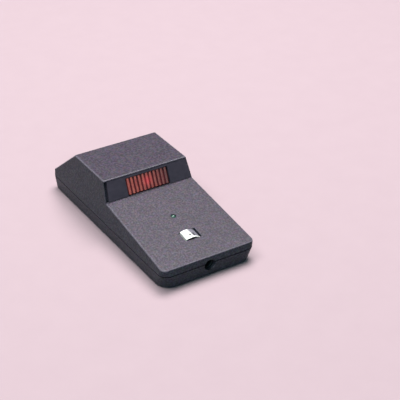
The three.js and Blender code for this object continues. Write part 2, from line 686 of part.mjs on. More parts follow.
// ---------------------------------------------------------------- rocker switch and power light
// The key's side outline about its pin: arcs at both ends, a crowned top and a flat underside.
function keyOutline() {
  const low = KEY_BOTTOM - PIN_DEPTH;
  const crownZ = KEY_CREST - PIN_DEPTH - KEY_TOP_RADIUS;
  const topSquare = KEY_TOP_RADIUS ** 2 - KEY_END_RADIUS ** 2;
  const cornerZ = (topSquare + crownZ ** 2) / (-2 * crownZ) + crownZ;
  const cornerX = Math.sqrt(KEY_END_RADIUS ** 2 - cornerZ ** 2);
  const endLow = Math.asin(low / KEY_END_RADIUS);
  const endHigh = Math.asin(cornerZ / KEY_END_RADIUS);
  const crown = Math.atan2(cornerZ - crownZ, cornerX);
  const shape = new THREE.Shape();
  shape.absarc(0, 0, KEY_END_RADIUS, endLow, endHigh, false);
  shape.absarc(0, crownZ, KEY_TOP_RADIUS, crown, Math.PI - crown, false);
  shape.absarc(0, 0, KEY_END_RADIUS, Math.PI - endHigh, Math.PI - endLow, false);
  return shape;
}

function powerRocker() {
  const body = solidOf(acrossY(keyOutline(), -KEY_HALF_WIDTH, KEY_HALF_WIDTH, 8));
  const hollowS = KEY_HALF_WIDTH - KEY_WALL;
  const hollow = solidOf(box(-3.3, 3.3, -hollowS, hollowS, -6, 1.3));
  const pinHole = solidOf(alongY(PIN_RADIUS + 0.08, 0, 0, -6, 6, 16));
  return cut(body, [hollow, pinHole]);
}

function switchBody() {
  const floorTop = BOARD_TOP + SEAT_GAP + 1.2;
  const rim = -WALL - CLEARANCE;
  const outer = solidOf(box(-6.4, 6.4, SWITCH_S - 5.2, SWITCH_S + 5.2, BOARD_TOP + SEAT_GAP, rim));
  const well = solidOf(box(-5.2, 5.2, SWITCH_S - 4.1, SWITCH_S + 4.1, floorTop, 0));
  const post = solidOf(box(-1.1, 1.1, SWITCH_S - 2.4, SWITCH_S + 2.4, floorTop - 0.2, PIN_DEPTH + 0.2));
  const postTop = solidOf(alongY(1.1, 0, PIN_DEPTH, SWITCH_S - 2.4, SWITCH_S + 2.4, 20));
  const pinHole = solidOf(alongY(PIN_RADIUS + 0.08, 0, PIN_DEPTH, SWITCH_S - 6, SWITCH_S + 6, 16));
  return cut(joined([outer.subtract(well), post, postTop]), [pinHole]);
}

function addSwitchAndPowerLight() {
  addNode(deckFrame, "switch_body", switchBody(), BLACK_PLASTIC);
  addNode(keyFrame, "power_rocker", powerRocker(), KEY);
  const pin = alongY(PIN_RADIUS, 0, PIN_DEPTH, SWITCH_S - 3.5, SWITCH_S + 3.5, 16);
  addNode(deckFrame, "rocker_pin", pin, TIN);
  addAt(deckFrame, "power_led", led(LED_RADIUS, 4.7), GREEN_LED, 0, POWER_LED_S, POWER_LED_BASE);
  const spacerLow = BOARD_TOP + SEAT_GAP;
  const spacer = upright(2.3, 0, POWER_LED_S, spacerLow, POWER_LED_BASE - SEAT_GAP, 20);
  addNode(deckFrame, "power_led_spacer", spacer, NYLON);
}

// ---------------------------------------------------------------- circuit board and its parts
function mainBoard() {
  const outline = new THREE.Shape([
    new THREE.Vector2(-17.5, 3.6),
    new THREE.Vector2(-5.2, 3.6),
    new THREE.Vector2(-5.2, 16.2),
    new THREE.Vector2(5.2, 16.2),
    new THREE.Vector2(5.2, 3.6),
    new THREE.Vector2(17.5, 3.6),
    new THREE.Vector2(17.5, 15),
    new THREE.Vector2(25, 15),
    new THREE.Vector2(25, BOARD_REAR),
    new THREE.Vector2(-25, BOARD_REAR),
    new THREE.Vector2(-25, 15),
    new THREE.Vector2(-17.5, 15),
  ]);
  for (const side of [-1, 1]) {
    const hole = new THREE.Path().absarc(side * BOARD_SCREW_X, BOARD_SCREW_S, 1.5, 0, 2 * Math.PI);
    outline.holes.push(hole);
  }
  const settings = { depth: BOARD_THICKNESS, bevelEnabled: false, curveSegments: 6 };
  return new THREE.ExtrudeGeometry(outline, settings).translate(0, 0, BOARD_TOP - BOARD_THICKNESS);
}

// A chip on its rows of legs, centred on x = y = 0 and standing on z = 0.
function chip(halfX, halfY, legsPerRow) {
  const pieces = [solidOf(box(-halfX, halfX, -halfY, halfY, 0.6, 3.2))];
  const pitch = (2 * halfX - 1) / legsPerRow;
  for (let i = 0; i < legsPerRow; i++) {
    const x = (i - (legsPerRow - 1) / 2) * pitch;
    for (const side of [-1, 1]) {
      const nearY = side * (halfY - 0.3);
      const farY = side * (halfY + 0.6);
      const leg = box(x - 0.35, x + 0.35, Math.min(nearY, farY), Math.max(nearY, farY), 0, 1.6);
      pieces.push(solidOf(leg));
    }
  }
  return joined(pieces);
}

// A standing can capacitor with the groove near its foot.
function canCapacitor(radius, height) {
  const profile = [
    [0, 0],
    [radius, 0],
    [radius, 0.9],
    [radius - 0.3, 1.2],
    [radius, 1.5],
    [radius, height - 0.4],
    [radius - 0.4, height],
    [0, height],
  ];
  return new THREE.LatheGeometry(profile.map((p) => new THREE.Vector2(...p)), 20).rotateX(Math.PI / 2);
}

function regulator() {
  const outline = new THREE.Shape();
  outline.absarc(0, 0, 2.3, -0.6, Math.PI + 0.6, false);
  const settings = { depth: 3.4, bevelEnabled: false, curveSegments: 10 };
  const body = solidOf(new THREE.ExtrudeGeometry(outline, settings).translate(0, 0, 1.9));
  const legs = [-1.27, 0, 1.27].map((x) => solidOf(box(x - 0.25, x + 0.25, -0.25, 0.25, 0, 2.1)));
  return joined([body, ...legs]);
}

function buzzer() {
  const can = solidOf(upright(6, 0, 0, 0, 5.9, 28));
  const port = solidOf(upright(1.1, 0, 0, 4.7, 8, 12));
  return can.subtract(port);
}

function addBoard() {
  const boardZ = BOARD_TOP + SEAT_GAP;
  addNode(deckFrame, "main_board", mainBoard(), BOARD);
  addAt(deckFrame, "amplifier_chip", chip(5, 3.1, 4), BLACK_PLASTIC, 15, 29, boardZ);
  addAt(deckFrame, "comparator_chip", chip(3.6, 2.2, 4), BLACK_PLASTIC, 11, 38.5, boardZ);
  addAt(deckFrame, "supply_capacitor", canCapacitor(3.15, 6), SLEEVE, -14, 18, boardZ);
  addAt(deckFrame, "filter_capacitor", canCapacitor(2.5, 5.6), SLEEVE, -21, 24, boardZ);
  addAt(deckFrame, "voltage_regulator", regulator(), BLACK_PLASTIC, 11.5, 10, boardZ);
  addAt(deckFrame, "buzzer", buzzer(), BLACK_PLASTIC, -13, 33.5, boardZ);
}

// ---------------------------------------------------------------- power socket
function jackHousing() {
  const body = solidOf(box(-4.5, 4.5, JACK_FRONT_Y, JACK_REAR_Y, 3.2, 11));
  const bore = solidOf(alongY(JACK_BORE_RADIUS, 0, JACK_Z, JACK_FRONT_Y - 2, JACK_REAR_Y - 2.4, 32));
  const pinHole = solidOf(alongY(1.2, 0, JACK_Z, JACK_FRONT_Y, JACK_REAR_Y + 1, 16));
  const contactSlot = solidOf(box(-1.6, 1.6, 4.6, JACK_REAR_Y + 1, 3, 4.3));
  return cut(body, [bore, pinHole, contactSlot]);
}

function addPowerSocket() {
  addNode(caseFrame, "jack_housing", jackHousing(), BLACK_PLASTIC);
  const pin = alongY(1, 0, JACK_Z, JACK_PIN_TIP_Y, JACK_REAR_Y + 0.8, 16);
  addNode(caseFrame, "jack_centre_pin", pin, TIN);
  const contact = box(-1.2, 1.2, 5, JACK_REAR_Y + 0.8, 3.4, 3.9);
  addNode(caseFrame, "jack_sleeve_contact", contact, BRASS);
}

// ---------------------------------------------------------------- magnetic pickup
// A tape-style pickup: a block with a bowed sensing face underneath and a flange that stops it.
function magneticHead() {
  const sag = 1.4;
  const noseRadius = (PICKUP_HALF_Y ** 2 + sag ** 2) / (2 * sag);
  const half = Math.asin(PICKUP_HALF_Y / noseRadius);
  const outline = new THREE.Shape();
  outline.absarc(0, noseRadius, noseRadius, -Math.PI / 2 - half, -Math.PI / 2 + half, false);
  outline.lineTo(PICKUP_HALF_Y, PICKUP_TOP_Z - PICKUP_BOTTOM_Z);
  outline.lineTo(-PICKUP_HALF_Y, PICKUP_TOP_Z - PICKUP_BOTTOM_Z);
  const settings = { depth: 2 * PICKUP_HALF_X, bevelEnabled: false, curveSegments: 8 };
  const can = new THREE.ExtrudeGeometry(outline, settings).rotateX(Math.PI / 2).rotateZ(Math.PI / 2);
  can.translate(-PICKUP_HALF_X, PICKUP_Y, PICKUP_BOTTOM_Z);
  const flange = box(-8.4, 8.4, PICKUP_Y - 5.8, PICKUP_Y + 5.8, FLOOR_TOP + CLEARANCE, FLOOR_TOP + 1.3);
  return solidOf(can).add(solidOf(flange));
}

class Helix extends THREE.Curve {
  constructor(radius, z0, z1, turns) {
    super();
    Object.assign(this, { radius, z0, z1, turns });
  }

  getPoint(t) {
    const angle = 2 * Math.PI * this.turns * t;
    const z = this.z0 + (this.z1 - this.z0) * t;
    return new THREE.Vector3(this.radius * Math.cos(angle), PICKUP_Y + this.radius * Math.sin(angle), z);
  }
}

function headSpring() {
  const wire = 0.3;
  const path = new Helix(2.4, PICKUP_TOP_Z + 0.2 + wire, BRACKET_TOP_Z - 0.2 - wire, 3);
  const section = new THREE.Shape().absarc(0, 0, wire, 0, 2 * Math.PI);
  return new THREE.ExtrudeGeometry(section, { steps: 54, curveSegments: 3, extrudePath: path });
}

// A hat-shaped sheet bridge over the pickup, screwed down at its two flanges.
function headBracket() {
  const innerX = 9.9;
  const outerX = innerX + BRACKET_SHEET;
  const flangeX = 17.6;
  const flangeTop = BRACKET_FLANGE_Z + BRACKET_SHEET;
  const bridgeTop = BRACKET_TOP_Z + BRACKET_SHEET;
  const half = [
    [innerX, BRACKET_TOP_Z],
    [innerX, BRACKET_FLANGE_Z],
    [flangeX, BRACKET_FLANGE_Z],
    [flangeX, flangeTop],
    [outerX, flangeTop],
    [outerX, bridgeTop],
  ];
  const mirrored = half.map(([x, z]) => [-x, z]).reverse();
  const outline = new THREE.Shape([...half, ...mirrored].map(([x, z]) => new THREE.Vector2(x, z)));
  const sheet = solidOf(acrossY(outline, PICKUP_Y - 3, PICKUP_Y + 3));
  const holes = [-1, 1].map((side) => {
    return solidOf(upright(1.4, side * BRACKET_SCREW_X, PICKUP_Y, 4, 9, 12));
  });
  return cut(sheet, holes);
}

function addPickup() {
  addNode(caseFrame, "magnetic_head", magneticHead(), TIN);
  addNode(caseFrame, "head_spring", headSpring(), TIN);
  addNode(caseFrame, "head_bracket", headBracket(), SCREW);
}

// ---------------------------------------------------------------- battery
function batteryCan() {
  const topZ = BATTERY_BOTTOM_Z + BATTERY_HEIGHT;
  const radius = 2;
  const points = [];
  for (const side of [-1, 1]) {
    for (const [z, way] of [[BATTERY_BOTTOM_Z, -1], [topZ, 1]]) {
      for (let i = 0; i <= 3; i++) {
        const angle = (i / 3) * (Math.PI / 2);
        const x = side * (BATTERY_HALF_X - radius + radius * Math.cos(angle));
        const height = z - way * radius * (1 - Math.sin(angle));
        points.push(new THREE.Vector3(x, BATTERY_FRONT_Y, height));
        points.push(new THREE.Vector3(x, BATTERY_FRONT_Y + BATTERY_CAN_LENGTH, height));
      }
    }
  }
  return new ConvexGeometry(points);
}

function batterySnap() {
  const midZ = BATTERY_BOTTOM_Z + BATTERY_HEIGHT / 2;
  const backY = BATTERY_FRONT_Y - TERMINAL_LENGTH - CLEARANCE - SEAT_GAP;
  const plate = solidOf(box(-12.6, 12.6, backY - 2.4, backY, midZ - 6.4, midZ + 6.4));
  const cupY = BATTERY_FRONT_Y - 0.5;
  const rings = [[TERMINAL_X, 4, 3.1], [-TERMINAL_X, 4.9, 4.2]].map(([x, outerR, innerR]) => {
    const ring = solidOf(alongY(outerR, x, midZ, backY - 0.2, cupY));
    return ring.subtract(solidOf(alongY(innerR, x, midZ, backY - 0.1, cupY + 1)));
  });
  return joined([plate, ...rings]);
}

function addBattery() {
  const midZ = BATTERY_BOTTOM_Z + BATTERY_HEIGHT / 2;
  const tipY = BATTERY_FRONT_Y - TERMINAL_LENGTH;
  const seatY = BATTERY_FRONT_Y - SEAT_GAP;
  addNode(caseFrame, "battery", batteryCan(), BATTERY);
  addNode(caseFrame, "battery_terminal_plus", alongY(2.75, TERMINAL_X, midZ, tipY, seatY), TIN);
  addNode(caseFrame, "battery_terminal_minus", alongY(3.85, -TERMINAL_X, midZ, tipY, seatY, 6), TIN);
  addNode(caseFrame, "battery_snap", batterySnap(), BLACK_PLASTIC);
  const padLow = BATTERY_BOTTOM_Z + BATTERY_HEIGHT + SEAT_GAP;
  addNode(caseFrame, "battery_pad", box(-10, 10, 86, 103, padLow, 22.3), FOAM);
}

// ---------------------------------------------------------------- internal leads
const BATTERY_RED_ROUTE = [
  [6.3, 67, 16.8],
  [7, 64.4, 17.8],
  [9.4, 58, 17.2],
  [13.6, 51, 15.6],
  [15.6, 46.6, 13.2],
  [15.8, 45, 11.2],
];
const BATTERY_BLACK_ROUTE = [
  [-6.3, 67, 16.8],
  [-4, 63, 18],
  [1.6, 57, 16.6],
  [6.6, 51, 15.2],
  [8.2, 47, 13.2],
  [8.4, 45.4, 11.3],
];
const ALARM_RED_ROUTE = [
  [-2, 76.5, 23.2],
  [-2.6, 77.9, 22.6],
  [-6, 78.9, 22],
  [-11, 78.2, 21.7],
  [-16, 73.6, 20.6],
  [-18.4, 67, 18.4],
  [-15, 59, 16.8],
  [-9.6, 51, 15.2],
  [-8.2, 46.8, 12.6],
  [-8.2, 45.6, 11.3],
];
const ALARM_BLACK_ROUTE = [
  [-5, 76.7, 23.8],
  [-5.6, 78.2, 23.4],
  [-9.5, 79.5, 23.3],
  [-14, 78.4, 22.9],
  [-18.5, 74.6, 21.6],
  [-20.4, 67.4, 19],
  [-17.2, 59, 16.6],
  [-12, 51, 14.6],
  [-10.6, 46.8, 12.2],
  [-10.6, 45.8, 11.3],
];
const HEAD_LEAD_ROUTE = [
  [0, 51.5, 7.6],
  [-0.6, 50.9, 8.4],
  [-1.6, 50.4, 10.2],
  [-2.6, 49.8, 12.2],
  [-3.4, 48, 12.9],
  [-4, 46, 12],
  [-4.2, 45.2, 11.3],
];
const LEAD_RADIUS = 0.55;

function addLeads() {
  addNode(caseFrame, "battery_lead_red", lead(BATTERY_RED_ROUTE, LEAD_RADIUS), RED_WIRE);
  addNode(caseFrame, "battery_lead_black", lead(BATTERY_BLACK_ROUTE, LEAD_RADIUS), BLACK_WIRE);
  addNode(caseFrame, "alarm_lead_red", lead(ALARM_RED_ROUTE, LEAD_RADIUS, 32), RED_WIRE);
  addNode(caseFrame, "alarm_lead_black", lead(ALARM_BLACK_ROUTE, LEAD_RADIUS, 32), BLACK_WIRE);
  addNode(caseFrame, "head_lead", lead(HEAD_LEAD_ROUTE, 0.5, 20), GREY_WIRE);
}

// ---------------------------------------------------------------- assembly
addNode(caseFrame, "upper_shell", upperShell(), CASE);
addNode(caseFrame, "lower_shell", lowerShell(), CASE);
addNode(caseFrame, "battery_door", batteryDoor(), CASE);
addFastenersAndFeet();
addAlarm();
addSwitchAndPowerLight();
addBoard();
addPowerSocket();
addPickup();
addBattery();
addLeads();

export default detector;
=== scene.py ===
"""The looks of the counterfeit bill detector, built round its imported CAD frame.

Shapes are made in millimetres in the case's own frames, where y runs from the deck's front edge to
the rear, and a piece is turned into the row frame, in metres, when it is finished.
"""
from math import asin, atan, atan2, cos, hypot, pi, radians, sin, sqrt

import bmesh
import bpy
from mathutils import Matrix, Vector


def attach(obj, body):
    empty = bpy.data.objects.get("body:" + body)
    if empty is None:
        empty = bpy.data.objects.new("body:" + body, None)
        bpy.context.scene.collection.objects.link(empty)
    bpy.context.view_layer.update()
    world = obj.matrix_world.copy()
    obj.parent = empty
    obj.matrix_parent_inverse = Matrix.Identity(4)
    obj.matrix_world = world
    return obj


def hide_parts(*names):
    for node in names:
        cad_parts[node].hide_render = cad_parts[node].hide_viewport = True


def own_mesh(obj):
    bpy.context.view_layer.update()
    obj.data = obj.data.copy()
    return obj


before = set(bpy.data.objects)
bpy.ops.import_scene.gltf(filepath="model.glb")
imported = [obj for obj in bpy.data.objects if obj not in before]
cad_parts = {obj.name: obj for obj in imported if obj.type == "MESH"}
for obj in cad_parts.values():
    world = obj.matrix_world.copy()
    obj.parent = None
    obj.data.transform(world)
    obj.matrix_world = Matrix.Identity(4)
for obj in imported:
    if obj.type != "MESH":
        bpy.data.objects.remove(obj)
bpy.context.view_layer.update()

QUARTER = pi / 2

# ---- driving dimensions, in mm
CASE_CENTRE_Y = 67.4
SEAM_Z = 9.0
SEAM_GAP = 0.6
SEAM_HALF_WIDTH = 30.5
SIDE_DRAFT = 0.105
FRONT_Y_AT_SEAM = -0.6
REAR_Y_AT_SEAM = 135.4
DECK_FRONT_Z = 13.2
CREASE_Y, CREASE_Z = 65.4, 22.4
HEAD_FRONT_Y, HEAD_REAR_Y, HEAD_Z = 70.5, 106.8, 34.7
REAR_EDGE_Y, REAR_EDGE_Z = 134.8, 12.1
FOOT_PROUD = 0.3
# The case's corners in plan.
SEAM_FRONT_CORNER, SEAM_REAR_CORNER, TOP_CORNER = 5.5, 4.5, 3.5
BOTTOM_FRONT_CORNER, BOTTOM_REAR_CORNER = 9, 5
BOTTOM_HALF_WIDTH = 29.8
BOTTOM_FRONT_Y, BOTTOM_REAR_Y = 0.6, 134.6
WALL = 2.0
CLEARANCE = 0.3
EDGE_RADIUS = 1.0
FLOOR_TOP = FOOT_PROUD + WALL
# Where cutters stop: below the floor, behind the case, and below the upper shell.
BELOW, BEHIND, CAVITY_Z = -1, 140, SEAM_Z - 5

DECK_SLOPE = (CREASE_Z - DECK_FRONT_Z) / CREASE_Y
DECK_TILT = atan(DECK_SLOPE)
FACE_LEAN = atan((HEAD_FRONT_Y - CREASE_Y) / (HEAD_Z - CREASE_Z))
REAR_SLOPE = (REAR_EDGE_Z - HEAD_Z) / (REAR_EDGE_Y - HEAD_REAR_Y)

# In the deck frame: x, distance up the deck, height above its surface.
SWITCH_S = 20.9
KEY_OPENING_X, KEY_OPENING_S = 5.3, 3.95
KEY_HALF_WIDTH = 3.7
KEY_END_RADIUS, KEY_TOP_RADIUS = 4.7, 9.0
KEY_CREST, KEY_BOTTOM = 1.0, -3.4
# The white cap's thickness, and the rim that it keeps over the black band of painted shade on its front
# side.
KEY_CAP, KEY_RIM = 0.55, 0.3
# The key's grey field: its corner, its bottom, and where its two edges stand at KEY_PAST.
FIELD_X, FIELD_Y, FIELD_BOTTOM = 0.3, -2.5, 0.3
FIELD_RIGHT_Y, FIELD_REAR_X, FIELD_DROP = -3.28, -0.55, 0.1
# Further from the pin than any part of the key.
KEY_PAST = 6
PIN_DEPTH, PIN_BORE_RADIUS = -1.2, 0.58
ROCKER_TILT = radians(9)
POWER_LED_S, POWER_LED_BASE = 39.4, -4.4
LED_RADIUS = 1.5
BOARD_TOP, BOARD_THICKNESS = -8.8, 1.6
BOARD_SCREW_X, BOARD_SCREW_S = 20.5, 43.5

# In the face frame: x, distance up the face, height out of its surface.
FACE_LIP = 0.15
PANEL_END_GAP, PANEL_SHIFT = 1.1, 0.7
PANEL_RECESS, PANEL_THICKNESS = 0.12, 1.78
PANEL_LOW, PANEL_HIGH = 0.6, 12.25
PANEL_SEAT = PANEL_RECESS + PANEL_THICKNESS + CLEARANCE
SEAT_THICKNESS = 1.3
LENS_HALF_WIDTH = 13.6
LENS_LOW, LENS_HIGH = 1.15, 10.75
RIB_COUNT, RIB_PITCH, RIB_WIDTH = 11, 2.5, 1.4
RIB_FRONT, RIB_VALLEY = PANEL_RECESS + 0.2, PANEL_RECESS + 1.2
FLANGE_HALF_X, FLANGE_THICKNESS, FLANGE_MARGIN = 15.4, 0.8, 0.7
ALARM_LED_UP = 6.0
ALARM_BOARD_DEPTH, ALARM_BOARD_THICKNESS = 8.3, 1.2

JACK_Z, JACK_HOLE_RADIUS = 7.4, 3.4
JACK_FRONT_Y, JACK_REAR_Y = 2.9, 14.0
PICKUP_Y, PICKUP_HALF_X, PICKUP_HALF_Y = 56.5, 6.5, 4.5
PICKUP_BOTTOM_Z, PICKUP_TOP_Z = 0.2, 9.2
BRACKET_SCREW_X, BRACKET_FLANGE_Z, BRACKET_TOP_Z, BRACKET_THICKNESS = 14.2, 6.3, 12.4, 0.8
BATTERY_HALF_X, BATTERY_FRONT_Y, BATTERY_LENGTH = 13.25, 72.3, 46.4
BATTERY_BOTTOM_Z, BATTERY_HEIGHT = 2.9, 17.5
BATTERY_CORNER = 2
DOOR_FRONT_Y, DOOR_TOP_Z, DOOR_HALF_X = 68.0, 2.5, 15.5
TONGUE_HALF_X, TONGUE_BOTTOM_Z = 17.2, 1.5
SCREW_HEAD_RADIUS, SCREW_HEAD_HEIGHT, SCREW_LENGTH = 2.4, 1.8, 7.4
SCREW_SEAT_Z = 3.9
UPPER_BOSS_RADIUS = 2.9
FOOT_RADIUS = 4.0


def four_places(front, rear):
    """Four named places, from the x and y of the front pair and of the rear pair."""
    places = {}
    for end, (x, y) in (("front", front), ("rear", rear)):
        places[f"{end}_left"] = (-x, y)
        places[f"{end}_right"] = (x, y)
    return places


CASE_SCREWS = four_places((23, 9), (23, 118))
FEET = four_places((21.5, 22), (23.5, 105))

# ---- frames
CASE = Matrix.Scale(0.001, 4) @ Matrix.Translation((0, -CASE_CENTRE_Y, 0))
DECK = Matrix.Translation((0, 0, DECK_FRONT_Z)) @ Matrix.Rotation(DECK_TILT, 4, "X")
FACE = Matrix.Translation((0, CREASE_Y, CREASE_Z)) @ Matrix.Rotation(QUARTER - FACE_LEAN, 4, "X")
KEY = DECK @ Matrix.Translation((0, SWITCH_S, PIN_DEPTH)) @ Matrix.Rotation(ROCKER_TILT, 4, "Y")


# ---- camera
CAMERA_AT = Vector((-0.2854, -0.51315, 0.3722))
CAMERA_TARGET = Vector((0.0387, 0.0042, 0.0))
CAMERA_LENS, CAMERA_SENSOR, CAMERA_SHIFT = 104.3, 36, -0.001


def scene_object(name, data):
    thing = bpy.data.objects.new(name, data)
    bpy.context.scene.collection.objects.link(thing)
    return thing


def add_camera():
    data = bpy.data.cameras.new("camera")
    data.lens = CAMERA_LENS
    data.sensor_width = CAMERA_SENSOR
    data.shift_x = CAMERA_SHIFT
    camera = scene_object("camera", data)
    camera.location = CAMERA_AT
    camera.rotation_euler = (CAMERA_TARGET - CAMERA_AT).to_track_quat("-Z", "Y").to_euler()
    bpy.context.scene.camera = camera


# ---- mesh helpers
def mesh_object(name, verts, faces):
    mesh = bpy.data.meshes.new(name)
    mesh.from_pydata(verts, [], faces)
    mesh.validate()
    return scene_object(name, mesh)


def from_bmesh(name, bm):
    bmesh.ops.recalc_face_normals(bm, faces=bm.faces)
    mesh = bpy.data.meshes.new(name)
    bm.to_mesh(mesh)
    bm.free()
    return scene_object(name, mesh)


def hull(points):
    """The convex solid that a list of points spans, with its flat faces whole."""
    bm = bmesh.new()
    for p in points:
        bm.verts.new(p)
    bmesh.ops.remove_doubles(bm, verts=bm.verts, dist=1e-4)
    made = bmesh.ops.convex_hull(bm, input=bm.verts)
    loose = set(made["geom_interior"] + made["geom_unused"])
    spare = [part for part in loose if isinstance(part, bmesh.types.BMVert)]
    bmesh.ops.delete(bm, geom=spare, context="VERTS")
    bmesh.ops.dissolve_limit(bm, angle_limit=0.004, verts=bm.verts, edges=bm.edges)
    return from_bmesh("hull", bm)


def box(x0, x1, y0, y1, z0, z1, grow=0.0):
    """A box, whose top spreads by grow on each side, as a cutter for a bevelled opening."""
    low = [(x0, y0, z0), (x1, y0, z0), (x1, y1, z0), (x0, y1, z0)]
    left, right, front, rear = x0 - grow, x1 + grow, y0 - grow, y1 + grow
    high = [(left, front, z1), (right, front, z1), (right, rear, z1), (left, rear, z1)]
    faces = [(3, 2, 1, 0), (4, 5, 6, 7), (0, 1, 5, 4), (1, 2, 6, 5), (2, 3, 7, 6), (3, 0, 4, 7)]
    return mesh_object("box", low + high, faces)


def lathe(profile, segments=48):
    """A solid of revolution about z. The profile runs from the axis below to the axis above."""
    verts, faces, rings = [], [], []
    for radius, z in profile:
        count = segments if radius > 0 else 1
        rings.append(range(len(verts), len(verts) + count))
        for i in range(count):
            turn = 2 * pi * i / segments
            verts.append((radius * cos(turn), radius * sin(turn), z))
    for low, high in zip(rings, rings[1:]):
        for i in range(segments):
            j = (i + 1) % segments
            corners = (low[i % len(low)], low[j % len(low)], high[j % len(high)], high[i % len(high)])
            # Two corners are one where a ring is a point on the axis.
            faces.append(tuple(dict.fromkeys(corners)))
    return mesh_object("lathe", verts, faces)


def rod(radius, z0, z1, segments=48):
    """An upright cylinder from z0 to z1."""
    return lathe([(0, z0), (radius, z0), (radius, z1), (0, z1)], segments)


def rods(places, radius, z0, z1, segments=48):
    """An upright cylinder at each of the places."""
    return [moved(rod(radius, z0, z1, segments), at(x, y, 0)) for x, y in places.values()]


def prism(outline, z0, z1):
    """An outline of x and y points, anticlockwise, as an upright solid."""
    n = len(outline)
    verts = [(x, y, z0) for x, y in outline] + [(x, y, z1) for x, y in outline]
    faces = [tuple(reversed(range(n))), tuple(range(n, 2 * n))]
    faces += [(i, (i + 1) % n, n + (i + 1) % n, n + i) for i in range(n)]
    return mesh_object("prism", verts, faces)


def across_y(outline, y0, y1):
    """An outline of x and z points, anticlockwise as seen from the front, extruded along y."""
    return moved(prism(outline, -y1, -y0), turned(90, "X"))


def arc(centre_x, centre_y, radius, start, end, steps):
    """Points along an arc, between two angles in radians."""
    turns = [start + (end - start) * i / steps for i in range(steps + 1)]
    return [(centre_x + radius * cos(a), centre_y + radius * sin(a)) for a in turns]


def moved(thing, matrix):
    thing.data.transform(matrix)
    return thing


def at(x, y, z):
    return Matrix.Translation((x, y, z))


def turned(degrees, axis):
    return Matrix.Rotation(radians(degrees), 4, axis)


def carve(base, tools, operation="DIFFERENCE"):
    """base with each tool cut from it, joined to it or met with it. The tools are used up."""
    for tool in tools:
        step = base.modifiers.new("carve", "BOOLEAN")
        step.operation = operation
        step.object = tool
        step.solver = "MANIFOLD"
    graph = bpy.context.evaluated_depsgraph_get()
    made = bpy.data.meshes.new_from_object(base.evaluated_get(graph))
    base.modifiers.clear()
    old = base.data
    base.data = made
    bpy.data.meshes.remove(old)
    for tool in tools:
        bpy.data.objects.remove(tool)
    if not made.polygons:
        raise RuntimeError(f"a cut left nothing of {base.name}")
    return base


def soften(thing, width):
    """Eases the edges sharper than 35 degrees, by a width in mm."""
    bevel = thing.modifiers.new("eased edges", "BEVEL")
    bevel.width = width * 0.001
    bevel.segments = 2
    bevel.limit_method = "ANGLE"
    bevel.angle_limit = radians(35)


def shade(thing, angle=28):
    """Smooth curved stretches and crisp flat ones."""
    mesh = thing.data
    mesh.polygons.foreach_set("use_smooth", [True] * len(mesh.polygons))
    mesh.set_sharp_from_angle(angle=radians(angle))
    weighted = thing.modifiers.new("weighted normals", "WEIGHTED_NORMAL")
    weighted.keep_sharp = True
    weighted.weight = 80


def piece(thing, name, matrix, material, nodes=(), body="case", angle=28, ease=0.0):
    """Turns a shape in mm into a named piece in the row frame, which rides on its body."""
    moved(thing, matrix)
    thing.name = name
    thing.data.name = name
    thing.data.materials.clear()
    thing.data.materials.append(material)
    if ease:
        soften(thing, ease)
    shade(thing, angle)
    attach(thing, body)
    if nodes:
        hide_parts(*nodes)


# ---- colours, as linear values
CHARCOAL_DARK = (0.0215, 0.0160, 0.0235)
CHARCOAL = (0.0330, 0.0252, 0.0358)
CHARCOAL_LIGHT = (0.0470, 0.0362, 0.0505)
# The rounded upper edges' lighter colour: partly rub wear, partly a painted highlight.
CHARCOAL_WEAR_AND_HIGHLIGHT = (0.090, 0.081, 0.098)
# Turns the upright walls a little cooler, against the pink that the floor reflects in them.
SIDE_TINT = (0.76, 1.14, 1.03)
PANEL_DARK = (0.0315, 0.0260, 0.0365)
PANEL_LIGHT = (0.0405, 0.0337, 0.0465)
# Painted shade: the lens's valleys, and its crests towards the right end.
LENS_VALLEY_SHADE = (0.105, 0.011, 0.017)
LENS_RIGHT_END_SHADE = (0.085, 0.040, 0.040)
LENS_RED = (0.225, 0.036, 0.035)
LENS_ORANGE = (0.305, 0.078, 0.056)
LENS_GLOW = (0.80, 0.06, 0.09)
KEY_SOILED = (0.40, 0.38, 0.34)
KEY_WHITE = (0.48, 0.47, 0.455)
FIELD_DARK, FIELD_LIGHT = (0.094, 0.085, 0.104), (0.122, 0.111, 0.135)
INK_DARK, INK_LIGHT = (0.008, 0.006, 0.009), (0.014, 0.011, 0.016)
GREEN_DARK, GREEN_LIGHT = (0.020, 0.048, 0.036), (0.030, 0.072, 0.054)
FLOOR_DARK, FLOOR_LIGHT = (0.268, 0.202, 0.219), (0.274, 0.207, 0.224)
BACKDROP_LOW, BACKDROP_HIGH = (0.50, 0.40, 0.44), (0.66, 0.53, 0.575)
FILL_COLOUR, SKY_COLOUR = (0.5, 0.92, 1.0), (0.4, 0.9, 1.0)


